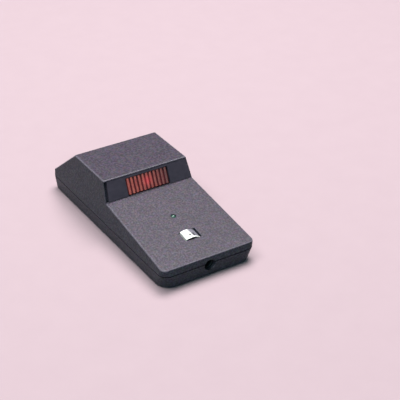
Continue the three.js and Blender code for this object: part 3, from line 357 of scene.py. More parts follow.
# ---- node helpers
class Nodes:
    """A material and the nodes that feed its shader."""

    def __init__(self, name):
        self.material = bpy.data.materials.new(name)
        self.material.use_nodes = True
        self.tree = self.material.node_tree
        self.shader = self.tree.nodes["Principled BSDF"]

    def add(self, kind, inputs=None, **settings):
        node = self.tree.nodes.new("ShaderNode" + kind)
        for key, value in settings.items():
            setattr(node, key, value)
        for key, value in (inputs or {}).items():
            self.put(node.inputs[key], value)
        return node

    def put(self, socket, value):
        if isinstance(value, bpy.types.NodeSocket):
            self.tree.links.new(value, socket)
        else:
            socket.default_value = value

    def set(self, **sockets):
        for key, value in sockets.items():
            self.put(self.shader.inputs[key.replace("_", " ")], value)

    def place(self, kind="Object"):
        return self.add("TexCoord").outputs[kind]

    def axis(self, vector, letter):
        return self.add("SeparateXYZ", {0: vector}).outputs[letter]

    def vectors(self, operation, *values):
        node = self.add("VectorMath", dict(enumerate(values)), operation=operation)
        return node.outputs["Value" if operation in ("DOT_PRODUCT", "LENGTH") else "Vector"]

    def noise(self, scale, detail=3.0, roughness=0.6, vector=None):
        vector = vector or self.place()
        wanted = {"Vector": vector, "Scale": scale, "Detail": detail, "Roughness": roughness}
        return self.add("TexNoise", wanted).outputs["Fac"]

    def ramp(self, fac, stops):
        node = self.add("ValToRGB", {"Fac": fac})
        ramp = node.color_ramp
        while len(ramp.elements) < len(stops):
            ramp.elements.new(0.5)
        for element, (position, colour) in zip(ramp.elements, stops):
            element.position = position
            element.color = (*colour, 1)
        return node.outputs["Color"]

    def span(self, value, low, high, to_low, to_high):
        wanted = {"Value": value, "From Min": low, "From Max": high, "To Min": to_low, "To Max": to_high}
        return self.add("MapRange", wanted).outputs["Result"]

    def mix(self, fac, a, b, blend="MIX"):
        """Two colours mixed, through the sockets that a mix node keeps for colours."""
        node = self.add("Mix", data_type="RGBA", blend_type=blend)
        self.put(node.inputs[0], fac)
        self.put(node.inputs[6], a)
        self.put(node.inputs[7], b)
        return node.outputs[2]

    def maths(self, operation, a, b):
        return self.add("Math", {0: a, 1: b}, operation=operation).outputs[0]

    def bump(self, height, strength, distance):
        wanted = {"Height": height, "Strength": strength, "Distance": distance}
        return self.add("Bump", wanted).outputs["Normal"]


def rgb(r, g, b):
    """An sRGB colour of 0 to 255 as linear values."""
    def linear(c):
        c /= 255
        return c / 12.92 if c <= 0.04045 else ((c + 0.055) / 1.055) ** 2.4
    return (linear(r), linear(g), linear(b))


# ---- materials
def tinted(m, colour, tone):
    """A colour made lighter or darker by a field of values round one."""
    grey = m.add("CombineColor", {"Red": tone, "Green": tone, "Blue": tone}).outputs[0]
    return m.mix(1.0, colour, grey, "MULTIPLY")


def edge_mask(m):
    """Rises from 0 to 1 on the rounded upper edges of the case, which hands and drawers rub and which
    take a painted highlight.
    """
    normal = m.place("Normal")
    top = (0, 0, 1)
    deck = (0, -sin(DECK_TILT), cos(DECK_TILT))
    rear = tuple(Vector((0, -REAR_SLOPE, 1)).normalized())
    front = (0, -cos(FACE_LEAN), sin(FACE_LEAN))
    nearest = 0.0
    for face in (top, deck, rear, front):
        nearest = m.maths("MAXIMUM", m.vectors("DOT_PRODUCT", normal, face), nearest)
    up = m.axis(normal, "Z")
    return m.maths("MULTIPLY", m.span(nearest, 0.996, 0.93, 0.0, 1.0), m.span(up, 0.2, 0.42, 0.0, 1.0))


def moulded_plastic():
    """Charcoal ABS with a coarse spark-eroded grain, faint colour flecks and upper edges lightened by
    wear and a painted highlight.
    """
    m = Nodes("moulded plastic")
    speck = m.noise(1050, 2, 0.5)
    grain = m.noise(3600, 2, 0.5)
    base = m.ramp(speck, [(0.36, CHARCOAL_DARK), (0.5, CHARCOAL), (0.64, CHARCOAL_LIGHT)])
    flecks = m.add("TexNoise", {"Vector": m.place(), "Scale": 520, "Detail": 2.0})
    flecks = m.vectors("MULTIPLY_ADD", flecks.outputs["Color"], (0.8,) * 3, (0.6,) * 3)
    base = m.mix(1.0, base, flecks, "MULTIPLY")
    toned = tinted(m, base, m.span(m.noise(90, 3, 0.6), 0.3, 0.7, 0.95, 1.06))
    upright = m.span(m.axis(m.place("Normal"), "Z"), 0.5, 0.25, 0.0, 1.0)
    toned = m.mix(upright, toned, m.mix(1.0, toned, (*SIDE_TINT, 1), "MULTIPLY"))
    edge = edge_mask(m)
    # Lightens the rounded upper edges: partly rub wear, partly a painted highlight.
    wear_and_highlight = m.maths("MULTIPLY", edge, m.span(speck, 0.35, 0.6, 0.55, 1.0))
    m.set(Base_Color=m.mix(wear_and_highlight, toned, (*CHARCOAL_WEAR_AND_HIGHLIGHT, 1)))
    m.set(Roughness=m.mix(edge, m.span(speck, 0.3, 0.7, 0.48, 0.38), (0.34,) * 3 + (1,)))
    height = m.maths("ADD", m.maths("MULTIPLY", grain, 0.4), speck)
    m.set(Normal=m.bump(height, 0.45, 0.00012))
    m.set(Specular_IOR_Level=0.12)
    return m.material


def panel_plastic():
    """Smoother, bluish-black plastic with a faint haze and a fine grain."""
    m = Nodes("panel plastic")
    haze = m.noise(260, 4, 0.6)
    grain = m.noise(1800, 2, 0.5)
    m.set(Base_Color=m.ramp(haze, [(0.3, PANEL_DARK), (0.7, PANEL_LIGHT)]))
    m.set(Roughness=m.span(haze, 0.3, 0.7, 0.38, 0.48))
    m.set(Normal=m.bump(grain, 0.15, 0.00005))
    m.set(Specular_IOR_Level=0.25)
    return m.material


def lens_plastic():
    """Red tinted acrylic with its light painted in: crests lighter and glowing, most at the left end,
    valleys darkened as painted shade, crests dimmed towards the right end, and a painted glow round the
    lamp behind.
    """
    m = Nodes("red lens")
    face = CASE @ FACE
    out = (face.to_3x3() @ Vector((0, 0, 1))).normalized()
    crest = face @ Vector((0, 0, -RIB_FRONT))
    depth = m.vectors("DOT_PRODUCT", m.vectors("SUBTRACT", m.place(), tuple(crest)), tuple(out))
    valley = (RIB_VALLEY - RIB_FRONT) * 0.001
    height = m.span(depth, -0.75 * valley, -0.05 * valley, 0.0, 1.0)
    lamp = face @ Vector((0, ALARM_LED_UP, -RIB_FRONT))
    distance = m.vectors("LENGTH", m.vectors("SUBTRACT", m.place(), tuple(lamp)))
    # Painted glow on the lens round the place of the lamp behind it.
    glow = m.span(distance, 0.0008, 0.0045, 1.0, 0.0)
    streak = m.noise(420, 3, 0.6)
    across = m.axis(m.place(), "X")
    half = LENS_HALF_WIDTH * 0.001
    crest_red = m.ramp(streak, [(0.3, LENS_RED), (0.7, LENS_ORANGE)])
    # Painted shade: the crests darken towards the lens's right end.
    crest_red = m.mix(m.span(across, 0.1 * half, 0.9 * half, 0.0, 0.75), crest_red, (*LENS_RIGHT_END_SHADE, 1))
    # Painted shade in the valleys between the ribs, against the lighter crests.
    m.set(Base_Color=m.mix(height, (*LENS_VALLEY_SHADE, 1), crest_red))
    m.set(Roughness=m.span(streak, 0.3, 0.7, 0.16, 0.28))
    m.set(Emission_Color=m.mix(glow, (*LENS_ORANGE, 1), (*LENS_GLOW, 1)))
    # Painted light: the crests glow, most at the left end, less towards the right.
    lit = m.maths("MULTIPLY", m.span(across, -half, half, 0.30, 0.04), m.span(streak, 0.3, 0.7, 0.7, 1.2))
    lit = m.maths("MULTIPLY", m.span(height, 0.0, 1.0, 0.12, 1.0), lit)
    m.set(Emission_Strength=m.maths("ADD", lit, m.maths("MULTIPLY", glow, 0.22)))
    m.set(Normal=m.bump(streak, 0.1, 0.0001))
    m.set(IOR=1.49)
    return m.material


def key_plastic():
    """Off-white satin plastic, a little soiled where fingers press it."""
    m = Nodes("key plastic")
    soil = m.noise(700, 3, 0.6)
    fine = m.noise(3000, 2, 0.5)
    m.set(Base_Color=m.ramp(soil, [(0.25, KEY_SOILED), (0.6, KEY_WHITE)]))
    m.set(Roughness=m.span(soil, 0.2, 0.8, 0.42, 0.3))
    m.set(Normal=m.bump(fine, 0.08, 0.00005))
    return m.material


def plain(name, low, high, scale, rough, metallic=0.0, bump=0.1, coat=0.0, stretch=None, gloss=0.5):
    """A finish whose colour and roughness vary a little between two values."""
    m = Nodes(name)
    vector = m.place()
    if stretch:
        vector = m.vectors("MULTIPLY", vector, stretch)
    field = m.noise(scale, 3, 0.6, vector)
    m.set(Base_Color=m.ramp(field, [(0.3, low), (0.7, high)]))
    m.set(Roughness=m.span(field, 0.25, 0.75, rough[0], rough[1]))
    m.set(Normal=m.bump(field, bump, 0.0001))
    m.set(Metallic=metallic, Coat_Weight=coat, Specular_IOR_Level=gloss)
    return m.material


def led_epoxy(name, dark, light, glow):
    """Tinted clear epoxy: glossy, deep in colour, with a little light left in it."""
    m = Nodes(name)
    field = m.noise(500, 2, 0.5)
    m.set(Base_Color=m.ramp(field, [(0.3, dark), (0.7, light)]))
    m.set(Roughness=m.span(field, 0.3, 0.7, 0.12, 0.18))
    m.set(Coat_Weight=0.15, Coat_Roughness=0.03)
    m.set(Emission_Color=(*light, 1), Emission_Strength=glow)
    return m.material


CASE_PLASTIC = moulded_plastic()
PANEL_PLASTIC = panel_plastic()
LENS_PLASTIC = lens_plastic()
KEY_PLASTIC = key_plastic()
# The key's sunk field: a grey darker than the white cap.
KEY_FIELD = plain("key sunk grey field", FIELD_DARK, FIELD_LIGHT, 1500, (0.45, 0.55))
KEY_INK = plain("key marking ink", INK_DARK, INK_LIGHT, 2000, (0.55, 0.65))
GREEN_EPOXY = led_epoxy("green epoxy", GREEN_DARK, GREEN_LIGHT, 0.3)
RED_EPOXY = led_epoxy("red epoxy", rgb(180, 24, 18), rgb(224, 44, 30), 1.2)
RUBBER = plain("foot rubber", rgb(22, 22, 23), rgb(34, 34, 36), 900, (0.75, 0.9), bump=0.3)
ZINC = plain("zinc plate", rgb(128, 128, 130), rgb(158, 157, 154), 600, (0.28, 0.42), 1.0, 0.08)
LAMINATE = plain("solder mask", rgb(20, 62, 36), rgb(30, 80, 48), 300, (0.3, 0.45), 0.0, 0.1, 0.3)
BLACK_MOULDING = plain("black moulding", rgb(16, 15, 17), rgb(26, 25, 28), 1200, (0.45, 0.6),
                       bump=0.15, gloss=0.2)
SLEEVE = plain("capacitor sleeve", rgb(30, 38, 74), rgb(40, 50, 92), 400, (0.25, 0.35), coat=0.3)
NYLON = plain("nylon", rgb(214, 210, 198), rgb(232, 229, 220), 700, (0.45, 0.6))
BRASS = plain("brass", rgb(176, 140, 70), rgb(205, 170, 98), 500, (0.25, 0.4), 1.0, 0.05)
TIN = plain("tin plate", rgb(170, 170, 172), rgb(200, 200, 202), 500, (0.2, 0.35), 1.0, 0.05)
PICKUP_METAL = plain("polished pickup can", rgb(176, 174, 170), rgb(204, 203, 200), 350, (0.12, 0.26),
                     1.0, 0.06, stretch=(1, 8, 8))
BATTERY_JACKET = plain("battery jacket", rgb(26, 29, 36), rgb(36, 40, 48), 200, (0.24, 0.34),
                       0.35, 0.05, 0.4)
BATTERY_BAND = plain("copper band", rgb(150, 92, 52), rgb(176, 112, 66), 260, (0.28, 0.38),
                     0.8, 0.05, 0.3)
FOAM = plain("foam", rgb(44, 44, 46), rgb(70, 70, 72), 1500, (0.85, 0.95), bump=0.8)
WIRE_RED = plain("red insulation", rgb(168, 26, 20), rgb(190, 38, 30), 500, (0.35, 0.5))
WIRE_BLACK = plain("black insulation", rgb(22, 22, 23), rgb(34, 34, 35), 500, (0.35, 0.5))
WIRE_GREY = plain("grey insulation", rgb(110, 112, 116), rgb(134, 136, 140), 500, (0.4, 0.55))


# ---- case outlines
CORNER_STEPS = 9


def half_width(z):
    """Half the case's width at a height, on its leaning side walls."""
    if z >= SEAM_Z:
        return SEAM_HALF_WIDTH - SIDE_DRAFT * (z - SEAM_Z)
    share = (z - FOOT_PROUD) / (SEAM_Z - FOOT_PROUD)
    return BOTTOM_HALF_WIDTH + (SEAM_HALF_WIDTH - BOTTOM_HALF_WIDTH) * share


def inset_outline(outline, distance):
    """A convex side outline, anticlockwise in y and z, moved inwards."""
    lines = []
    for (y, z), (next_y, next_z) in zip(outline, outline[1:] + outline[:1]):
        length = hypot(next_y - y, next_z - z)
        along = ((next_y - y) / length, (next_z - z) / length)
        lines.append((y - along[1] * distance, z + along[0] * distance, along))
    moved_in = []
    for i, (y, z, (by, bz)) in enumerate(lines):
        from_y, from_z, (ay, az) = lines[i - 1]
        step = ((y - from_y) * bz - (z - from_z) * by) / (ay * bz - az * by)
        moved_in.append((from_y + ay * step, from_z + az * step))
    return moved_in


def block(inset, corners):
    """The solid that a side outline spans, moved inwards, with its corners rounded.

    Each corner is its y and z, its radius in plan, its edge's radius, its end of the case (-1 is the
    front) and the slope that its rounding in plan follows.
    """
    outline = [corner[:2] for corner in corners]
    points = []
    for index, (plan, edge, end, slope) in enumerate(corner[2:] for corner in corners):
        rounding = max(edge - inset, 0)
        turn = max(plan - inset, rounding) - rounding
        corner_y, corner_z = inset_outline(outline, inset + rounding)[index]
        arc_steps = CORNER_STEPS if turn + rounding > 0 else 0
        edge_steps = 2 * CORNER_STEPS if rounding > 0 else 0
        for side in (-1, 1):
            for i in range(arc_steps + 1):
                phi = QUARTER * i / arc_steps if arc_steps else 0
                back = turn * (1 - sin(phi))
                z = corner_z - end * back * slope
                centre_x = half_width(z) - inset - rounding - turn * (1 - cos(phi))
                for j in range(edge_steps + 1):
                    theta = (j / edge_steps - 0.5) * pi if edge_steps else 0
                    reach = rounding * cos(theta)
                    x = side * (centre_x + reach * cos(phi))
                    y = corner_y - end * back + end * reach * sin(phi)
                    points.append((x, y, z + rounding * sin(theta)))
    return hull(points)


def deck_block(inset, bottom_z):
    """The wedge under the deck. Its rear end is hidden in the head's block."""
    hidden_y = 72 + inset
    return block(inset, [
        (FRONT_Y_AT_SEAM, bottom_z, SEAM_FRONT_CORNER, 0, -1, 0),
        (hidden_y, bottom_z, 0, 0, 1, 0),
        (hidden_y, DECK_FRONT_Z + DECK_SLOPE * hidden_y, EDGE_RADIUS, EDGE_RADIUS, 1, DECK_SLOPE),
        (0, DECK_FRONT_Z, TOP_CORNER, EDGE_RADIUS, -1, DECK_SLOPE),
    ])


def head_block(inset, bottom_z):
    return block(inset, [
        (CREASE_Y - 2.4, bottom_z, 0, 0, -1, 0),
        (REAR_Y_AT_SEAM, bottom_z, SEAM_REAR_CORNER, 0, 1, 0),
        (REAR_EDGE_Y, REAR_EDGE_Z, TOP_CORNER, EDGE_RADIUS, 1, REAR_SLOPE),
        (HEAD_REAR_Y, HEAD_Z, EDGE_RADIUS, EDGE_RADIUS, 1, 0),
        (HEAD_FRONT_Y, HEAD_Z, EDGE_RADIUS, EDGE_RADIUS, -1, 0),
        (CREASE_Y, CREASE_Z, EDGE_RADIUS, EDGE_RADIUS, -1, 0),
    ])


def tray_block(inset, top_z):
    return block(inset, [
        (BOTTOM_FRONT_Y, FOOT_PROUD, BOTTOM_FRONT_CORNER, EDGE_RADIUS, -1, 0),
        (BOTTOM_REAR_Y, FOOT_PROUD, BOTTOM_REAR_CORNER, EDGE_RADIUS, 1, 0),
        (REAR_Y_AT_SEAM, top_z, SEAM_REAR_CORNER, 0, 1, 0),
        (FRONT_Y_AT_SEAM, top_z, SEAM_FRONT_CORNER, 0, -1, 0),
    ])


def seam_block(inset, bottom_z, top_z):
    """A straight-sided ring of the case's plan at the seam, moved inwards."""
    points = []
    ends = ((-1, FRONT_Y_AT_SEAM, SEAM_FRONT_CORNER), (1, REAR_Y_AT_SEAM, SEAM_REAR_CORNER))
    for end, seam_y, corner in ends:
        radius = corner - inset
        for side in (-1, 1):
            for i in range(CORNER_STEPS + 1):
                phi = QUARTER * i / CORNER_STEPS
                x = side * (SEAM_HALF_WIDTH - inset - radius * (1 - cos(phi)))
                y = seam_y - end * (inset + radius * (1 - sin(phi)))
                points += [(x, y, bottom_z), (x, y, top_z)]
    return hull(points)


# ---- upper shell
def jack_hole():
    """The round hole in the front wall, with a small lead-in."""
    radius, outside, lead_in, inside = JACK_HOLE_RADIUS, -3, 0.1, 3.2
    profile = [(0, outside), (radius + 1.8, outside), (radius, lead_in), (radius, inside), (0, inside)]
    return moved(lathe(profile, 64), at(0, 0, JACK_Z) @ turned(-90, "X"))


def key_opening():
    """The key's square opening in the deck, with a fine chamfer round its mouth."""
    chamfer = 0.15
    x, s = KEY_OPENING_X, KEY_OPENING_S
    shaft = box(-x, x, SWITCH_S - s, SWITCH_S + s, -4, 1)
    mouth = box(-x, x, SWITCH_S - s, SWITCH_S + s, -chamfer, 2.0, grow=2.0 + chamfer)
    return [moved(t, DECK) for t in (shaft, mouth)]


def led_hole():
    radius = LED_RADIUS + 0.15
    profile = [(0, -4), (radius, -4), (radius, -0.15), (radius + 2.15, 2.0), (0, 2.0)]
    return moved(lathe(profile, 48), DECK @ at(0, POWER_LED_S, 0))


def face_slab(end_inset, front, back, low, high):
    """A slab in the face frame, whose two ends follow the case's side walls at an inset from them."""
    half_low = half_width(CREASE_Z + low * cos(FACE_LEAN)) - end_inset
    half_high = half_width(CREASE_Z + high * cos(FACE_LEAN)) - end_inset
    outline = [(-half_low, low), (half_low, low), (half_high, high), (-half_high, high)]
    return prism(outline, -back, -front)


def face_opening():
    slab = face_slab(FACE_LIP, -2, PANEL_SEAT, PANEL_LOW - CLEARANCE, PANEL_HIGH + CLEARANCE)
    return moved(slab, FACE)


def seat_window():
    half_x = FLANGE_HALF_X + CLEARANCE
    margin = FLANGE_MARGIN + CLEARANCE
    back = PANEL_SEAT + SEAT_THICKNESS + 1
    return moved(box(-half_x, half_x, LENS_LOW - margin, LENS_HIGH + margin, -back, -1), FACE)


def upper_block(inset, bottom_z):
    return carve(deck_block(inset, bottom_z), [head_block(inset, bottom_z)], "UNION")


def upper_posts():
    """The screw posts, the posts that the board hangs from, the panel's ledge and the inner ribs."""
    posts = rods(CASE_SCREWS, UPPER_BOSS_RADIUS, 8.2, HEAD_Z)
    posts.append(moved(face_slab(1.2, 1.6, PANEL_SEAT + SEAT_THICKNESS, -0.5, PANEL_HIGH + 0.65), FACE))
    posts.append(box(-12, 12, 94, 95.4, 22.6, HEAD_Z - WALL + 0.5))
    for side in (-1, 1):
        boss = rod(2.6, BOARD_TOP + CLEARANCE, -WALL + 0.5)
        posts.append(moved(boss, DECK @ at(side * BOARD_SCREW_X, BOARD_SCREW_S, 0)))
        x0 = min(side * 6.4, side * 8.4)
        posts.append(moved(box(x0, x0 + 2, 7, 15.4, -10.8, -7), FACE))
    return [carve(post, [upper_block(0.5, CAVITY_Z)], "INTERSECT") for post in posts]


def upper_shell():
    """The hollow deck and head, rebated at the seam and open for what shows through it."""
    shell = carve(upper_block(0, SEAM_Z + SEAM_GAP / 2), [upper_block(WALL, CAVITY_Z)])
    shell = carve(shell, upper_posts(), "UNION")
    rebate = seam_block(0.8, CAVITY_Z, SEAM_Z + 1.7)
    rebate = carve(rebate, rods(CASE_SCREWS, UPPER_BOSS_RADIUS, 0, 13))
    holes = [rebate, jack_hole(), *key_opening(), led_hole(), face_opening(), seat_window()]
    near = ALARM_BOARD_DEPTH - CLEARANCE
    far = ALARM_BOARD_DEPTH + ALARM_BOARD_THICKNESS + CLEARANCE
    holes.append(moved(box(-7.3, 7.3, 2, 10, -far, -near), FACE))
    holes += rods(CASE_SCREWS, 1.35, 0, 11.7, 24)
    for side in (-1, 1):
        place = DECK @ at(side * BOARD_SCREW_X, BOARD_SCREW_S, 0)
        holes.append(moved(rod(1.25, -12, -3.6, 24), place))
    shell = carve(shell, holes)
    piece(shell, "upper_shell_moulding", CASE, CASE_PLASTIC, ["upper_shell"])


# ---- lower shell, door, feet and screws
def door_channel():
    """The cutter for the door's opening and its two grooves."""
    outer_x, tongue_x = DOOR_HALF_X + CLEARANCE, TONGUE_HALF_X + CLEARANCE
    front_y, top_z = DOOR_FRONT_Y - CLEARANCE, DOOR_TOP_Z + CLEARANCE
    outer = box(-outer_x, outer_x, front_y, BEHIND, BELOW, top_z)
    tongue = box(-tongue_x, tongue_x, front_y, BEHIND, TONGUE_BOTTOM_Z - CLEARANCE, top_z)
    return carve(outer, [tongue], "UNION")


def round_slot(x0, x1, y, radius, z0, z1):
    """A slot along x with round ends, as an upright cutter."""
    right = arc(x1 - radius, y, radius, -QUARTER, QUARTER, 8)
    left = arc(x0 + radius, y, radius, QUARTER, 3 * QUARTER, 8)
    return prism(right + left, z0, z1)


def lower_shell():
    """The tray, with its lip, posts, door rails, battery walls and openings."""
    cavity = carve(tray_block(WALL, SEAM_Z + 4), [box(-40, 40, -10, 150, -5, FLOOR_TOP)])
    tray = carve(tray_block(0, SEAM_Z - SEAM_GAP / 2), [cavity])
    lip = carve(seam_block(1.1, SEAM_Z - 1.2, SEAM_Z + 1.4), [seam_block(WALL, 0, 20)])
    added = [lip, *rods(CASE_SCREWS, 3.7, FOOT_PROUD + 0.6, 7.9)]
    root, bay_x, bay_rear, bay_top = FLOOR_TOP - 0.4, 15.3, 123.2, 8.2
    for side in (-1, 1):
        inner, outer, wall = side * 14.3, side * 19.4, side * 15.7
        added.append(box(min(inner, outer), max(inner, outer), 65, 133, root, 4.2))
        added.append(box(min(inner, wall), max(inner, wall), 65, bay_rear, 4, bay_top))
        added.append(moved(rod(2.8, root, 6.0), at(side * BRACKET_SCREW_X, PICKUP_Y, 0)))
    added.append(box(-bay_x, bay_x, 64.6, 66, root, 7.6))
    added.append(box(-bay_x, bay_x, 121.8, bay_rear, 3, bay_top))
    shell = carve(tray, added, "UNION")
    slot_x, slot_y = PICKUP_HALF_X + 0.4, PICKUP_HALF_Y + 0.4
    pickup_slot = box(-slot_x, slot_x, PICKUP_Y - slot_y, PICKUP_Y + slot_y, BELOW, 5)
    holes = [door_channel(), jack_hole(), pickup_slot]
    head_bore, shank_bore = SCREW_HEAD_RADIUS + CLEARANCE, 1.4
    bore = [(0, BELOW), (4.2, BELOW), (head_bore, 0.55), (head_bore, SCREW_SEAT_Z)]
    bore += [(shank_bore, SCREW_SEAT_Z), (shank_bore, 12), (0, 12)]
    for x, y in CASE_SCREWS.values():
        holes.append(moved(lathe(bore, 40), at(x, y, 0)))
    holes += rods(FEET, FOOT_RADIUS + CLEARANCE, BELOW, FOOT_PROUD + 0.8)
    for side in (-1, 1):
        holes.append(moved(rod(1.2, 2.4, 10, 24), at(side * BRACKET_SCREW_X, PICKUP_Y, 0)))
    for i in range(5):
        holes.append(round_slot(-18, -9, 28.6 + 2.6 * i, 0.6, BELOW, 3))
    shell = carve(shell, holes)
    piece(shell, "lower_shell_moulding", CASE, CASE_PLASTIC, ["lower_shell"])


def battery_door():
    """The door and its tongues, with finger grooves and a plain arrow."""
    tongue = box(-TONGUE_HALF_X, TONGUE_HALF_X, DOOR_FRONT_Y, BEHIND, TONGUE_BOTTOM_Z, DOOR_TOP_Z)
    door = box(-DOOR_HALF_X, DOOR_HALF_X, DOOR_FRONT_Y, BEHIND, BELOW, DOOR_TOP_Z)
    door = carve(door, [tongue], "UNION")
    door = carve(door, [tray_block(0, SEAM_Z - SEAM_GAP / 2)], "INTERSECT")
    groove_top, arrow_top = FOOT_PROUD + 0.5, FOOT_PROUD + 0.35
    marks = [round_slot(-8, 8, 112.55 + 2.4 * i, 0.55, BELOW, groove_top) for i in range(6)]
    marks.append(prism([(-4.2, 102.5), (4.2, 102.5), (0, 108)], BELOW, arrow_top))
    piece(carve(door, marks), "battery_door_moulding", CASE, CASE_PLASTIC,
          ["battery_door"], "battery_cover", ease=0.12)


def feet():
    """Rubber pads with eased edges and one fine ring moulded in each underside."""
    top, round_off = FOOT_PROUD + 0.6, 0.22
    ring = [(0, 0), (2.3, 0), (2.42, 0.1), (2.62, 0.1), (2.74, 0)]
    edge = arc(FOOT_RADIUS - round_off, round_off, round_off, -QUARTER, 0, 5)
    for name, (x, y) in FEET.items():
        pad = lathe(ring + edge + [(FOOT_RADIUS, top), (0, top)], 56)
        piece(pad, f"rubber_foot_{name}_pad", CASE @ at(x, y, 0), RUBBER,
              [f"rubber_foot_{name}"])


def thread(radius, z0, z1, pitch):
    """The saw-toothed side of a thread, as radius and height pairs."""
    points = []
    root = radius * 0.74
    for i in range(int((z1 - z0) / pitch)):
        z = z0 + i * pitch
        points += [(root, z + 0.12 * pitch), (radius, z + 0.5 * pitch), (root, z + 0.88 * pitch)]
    return points


def screw(length, radius, height):
    """A pan-head screw that stands on its head, with a tapered cross recess and a thread."""
    round_off, shank, tip = 0.55, 1.1, height + length
    rim = arc(radius - round_off, round_off, round_off, -QUARTER, 0, 6)
    neck = [(radius, height), (shank, height), (shank, height + 0.35)]
    side = thread(shank, height + 0.4, tip - 0.7, 0.8)
    body = lathe([(0, 0), *rim, *neck, *side, (0.4, tip), (0, tip)], 40)
    arm = radius * 0.55
    # A slot's half length, half width and height, at its mouth and at its bottom.
    levels = ((arm, 0.32, -0.5), (arm * 0.55, 0.2, height * 0.55))
    corners = [(sx * x, sy * y, z) for x, y, z in levels for sx in (-1, 1) for sy in (-1, 1)]
    return carve(body, [moved(hull(corners), turned(degrees, "Z")) for degrees in (0, 90)])


def screws():
    """Case, board and bracket screws. A place holds each one's matrix, length and head."""
    head_z = SCREW_SEAT_Z - CLEARANCE / 2 - SCREW_HEAD_HEIGHT
    case_size = (SCREW_LENGTH, SCREW_HEAD_RADIUS, SCREW_HEAD_HEIGHT)
    places = {}
    for name, (x, y) in CASE_SCREWS.items():
        places[f"case_screw_{name}"] = (CASE @ at(x, y, head_z), case_size)
    small_head = 1.5
    board_z = BOARD_TOP - BOARD_THICKNESS - CLEARANCE - small_head
    bracket_z = BRACKET_FLANGE_Z + BRACKET_THICKNESS + 0.1 + small_head
    for name, side in (("left", -1), ("right", 1)):
        board = CASE @ DECK @ at(side * BOARD_SCREW_X, BOARD_SCREW_S, board_z)
        places[f"board_screw_{name}"] = (board, (6.6, 2.1, small_head))
        bracket = CASE @ at(side * BRACKET_SCREW_X, PICKUP_Y, bracket_z) @ turned(180, "X")
        places[f"bracket_screw_{name}"] = (bracket, (4.6, 2, small_head))
    for name, (matrix, sizes) in places.items():
        piece(screw(*sizes), f"{name}_threaded", matrix, ZINC, [name])


# ---- alarm window
def face_panel():
    """The head's face panel, open at its foot for the lens."""
    back = PANEL_RECESS + PANEL_THICKNESS
    plate = face_slab(FACE_LIP + PANEL_END_GAP, PANEL_RECESS, back, PANEL_LOW - 0.15, PANEL_HIGH + 0.2)
    plate = moved(plate, at(PANEL_SHIFT, 0, 0))
    x = LENS_HALF_WIDTH + 2 * CLEARANCE
    opening = box(-x, x, PANEL_LOW - 1, LENS_HIGH + CLEARANCE, -4, 1)
    piece(carve(plate, [opening]), "face_panel_plate", CASE @ FACE, PANEL_PLASTIC,
          ["face_panel"], ease=0.06)


def alarm_lens():
    """A plate with round-nosed ribs, and a flange that holds it behind the panel."""
    back = PANEL_SEAT + FLANGE_THICKNESS
    nose = 0.45
    outline = [(-LENS_HALF_WIDTH, -back), (LENS_HALF_WIDTH, -back), (LENS_HALF_WIDTH, -RIB_VALLEY)]
    for rib in reversed(range(RIB_COUNT)):
        x = (rib - (RIB_COUNT - 1) / 2) * RIB_PITCH
        half = RIB_WIDTH / 2
        outline.append((x + half, -RIB_VALLEY))
        outline += arc(x + half - nose, -RIB_FRONT - nose, nose, 0, QUARTER, 5)
        outline += arc(x - half + nose, -RIB_FRONT - nose, nose, QUARTER, pi, 5)
        outline.append((x - half, -RIB_VALLEY))
    outline.append((-LENS_HALF_WIDTH, -RIB_VALLEY))
    ribbed = across_y(outline, LENS_LOW, LENS_HIGH)
    low, high = LENS_LOW - FLANGE_MARGIN, LENS_HIGH + FLANGE_MARGIN
    plate = box(-FLANGE_HALF_X, FLANGE_HALF_X, low, high, -back, -PANEL_SEAT)
    piece(carve(ribbed, [plate], "UNION"), "alarm_lens_ribbed", CASE @ FACE, LENS_PLASTIC,
          ["alarm_lens"], angle=40)


def led(height):
    """A round lamp with a flange and a domed end, standing on z = 0."""
    flange, top, edge = LED_RADIUS + 0.35, 0.8, 0.1
    dome = arc(0, height - LED_RADIUS, LED_RADIUS, 0, QUARTER, 12)[:-1]
    rim = [(flange - edge, 0), (flange, edge), (flange, 0.7), (flange - edge, top)]
    return lathe([(0, 0), *rim, (LED_RADIUS, top), *dome, (0, height)], 48)


def lamps():
    power = CASE @ DECK @ at(0, POWER_LED_S, POWER_LED_BASE)
    alarm = CASE @ FACE @ at(0, ALARM_LED_UP, 0.1 - ALARM_BOARD_DEPTH)
    piece(led(4.7), "power_led_dome", power, GREEN_EPOXY, ["power_led"])
    piece(led(4.4), "alarm_led_dome", alarm, RED_EPOXY, ["alarm_led"])


# ---- rocker key
def key_block(inset, half_width_y=KEY_HALF_WIDTH):
    """The key about its pin, moved inwards: round ends, a crowned top, a flat underside."""
    end_radius, top_radius = KEY_END_RADIUS - inset, KEY_TOP_RADIUS - inset
    crown_z = KEY_CREST - PIN_DEPTH - KEY_TOP_RADIUS
    corner_z = (end_radius ** 2 + crown_z ** 2 - top_radius ** 2) / (2 * crown_z)
    corner_x = sqrt(end_radius ** 2 - corner_z ** 2)
    end_low = asin((KEY_BOTTOM - PIN_DEPTH) / end_radius)
    end_high = asin(corner_z / end_radius)
    crown = atan2(corner_z - crown_z, corner_x)
    outline = arc(0, 0, end_radius, end_low, end_high, 10)
    outline += arc(0, crown_z, top_radius, crown, pi - crown, 28)[1:-1]
    outline += arc(0, 0, end_radius, pi - end_high, pi - end_low, 10)
    return across_y(outline, -half_width_y, half_width_y)


def key_field(inset):
    """The sunk field's outline, open to the key's right end and rear, as an upright cutter."""
    corner, right = (FIELD_X + inset, FIELD_Y + inset), (KEY_PAST, FIELD_RIGHT_Y + inset)
    outline = [corner, right, (KEY_PAST, KEY_PAST), (FIELD_REAR_X + inset, KEY_PAST)]
    return prism(outline, FIELD_BOTTOM + inset, KEY_PAST)


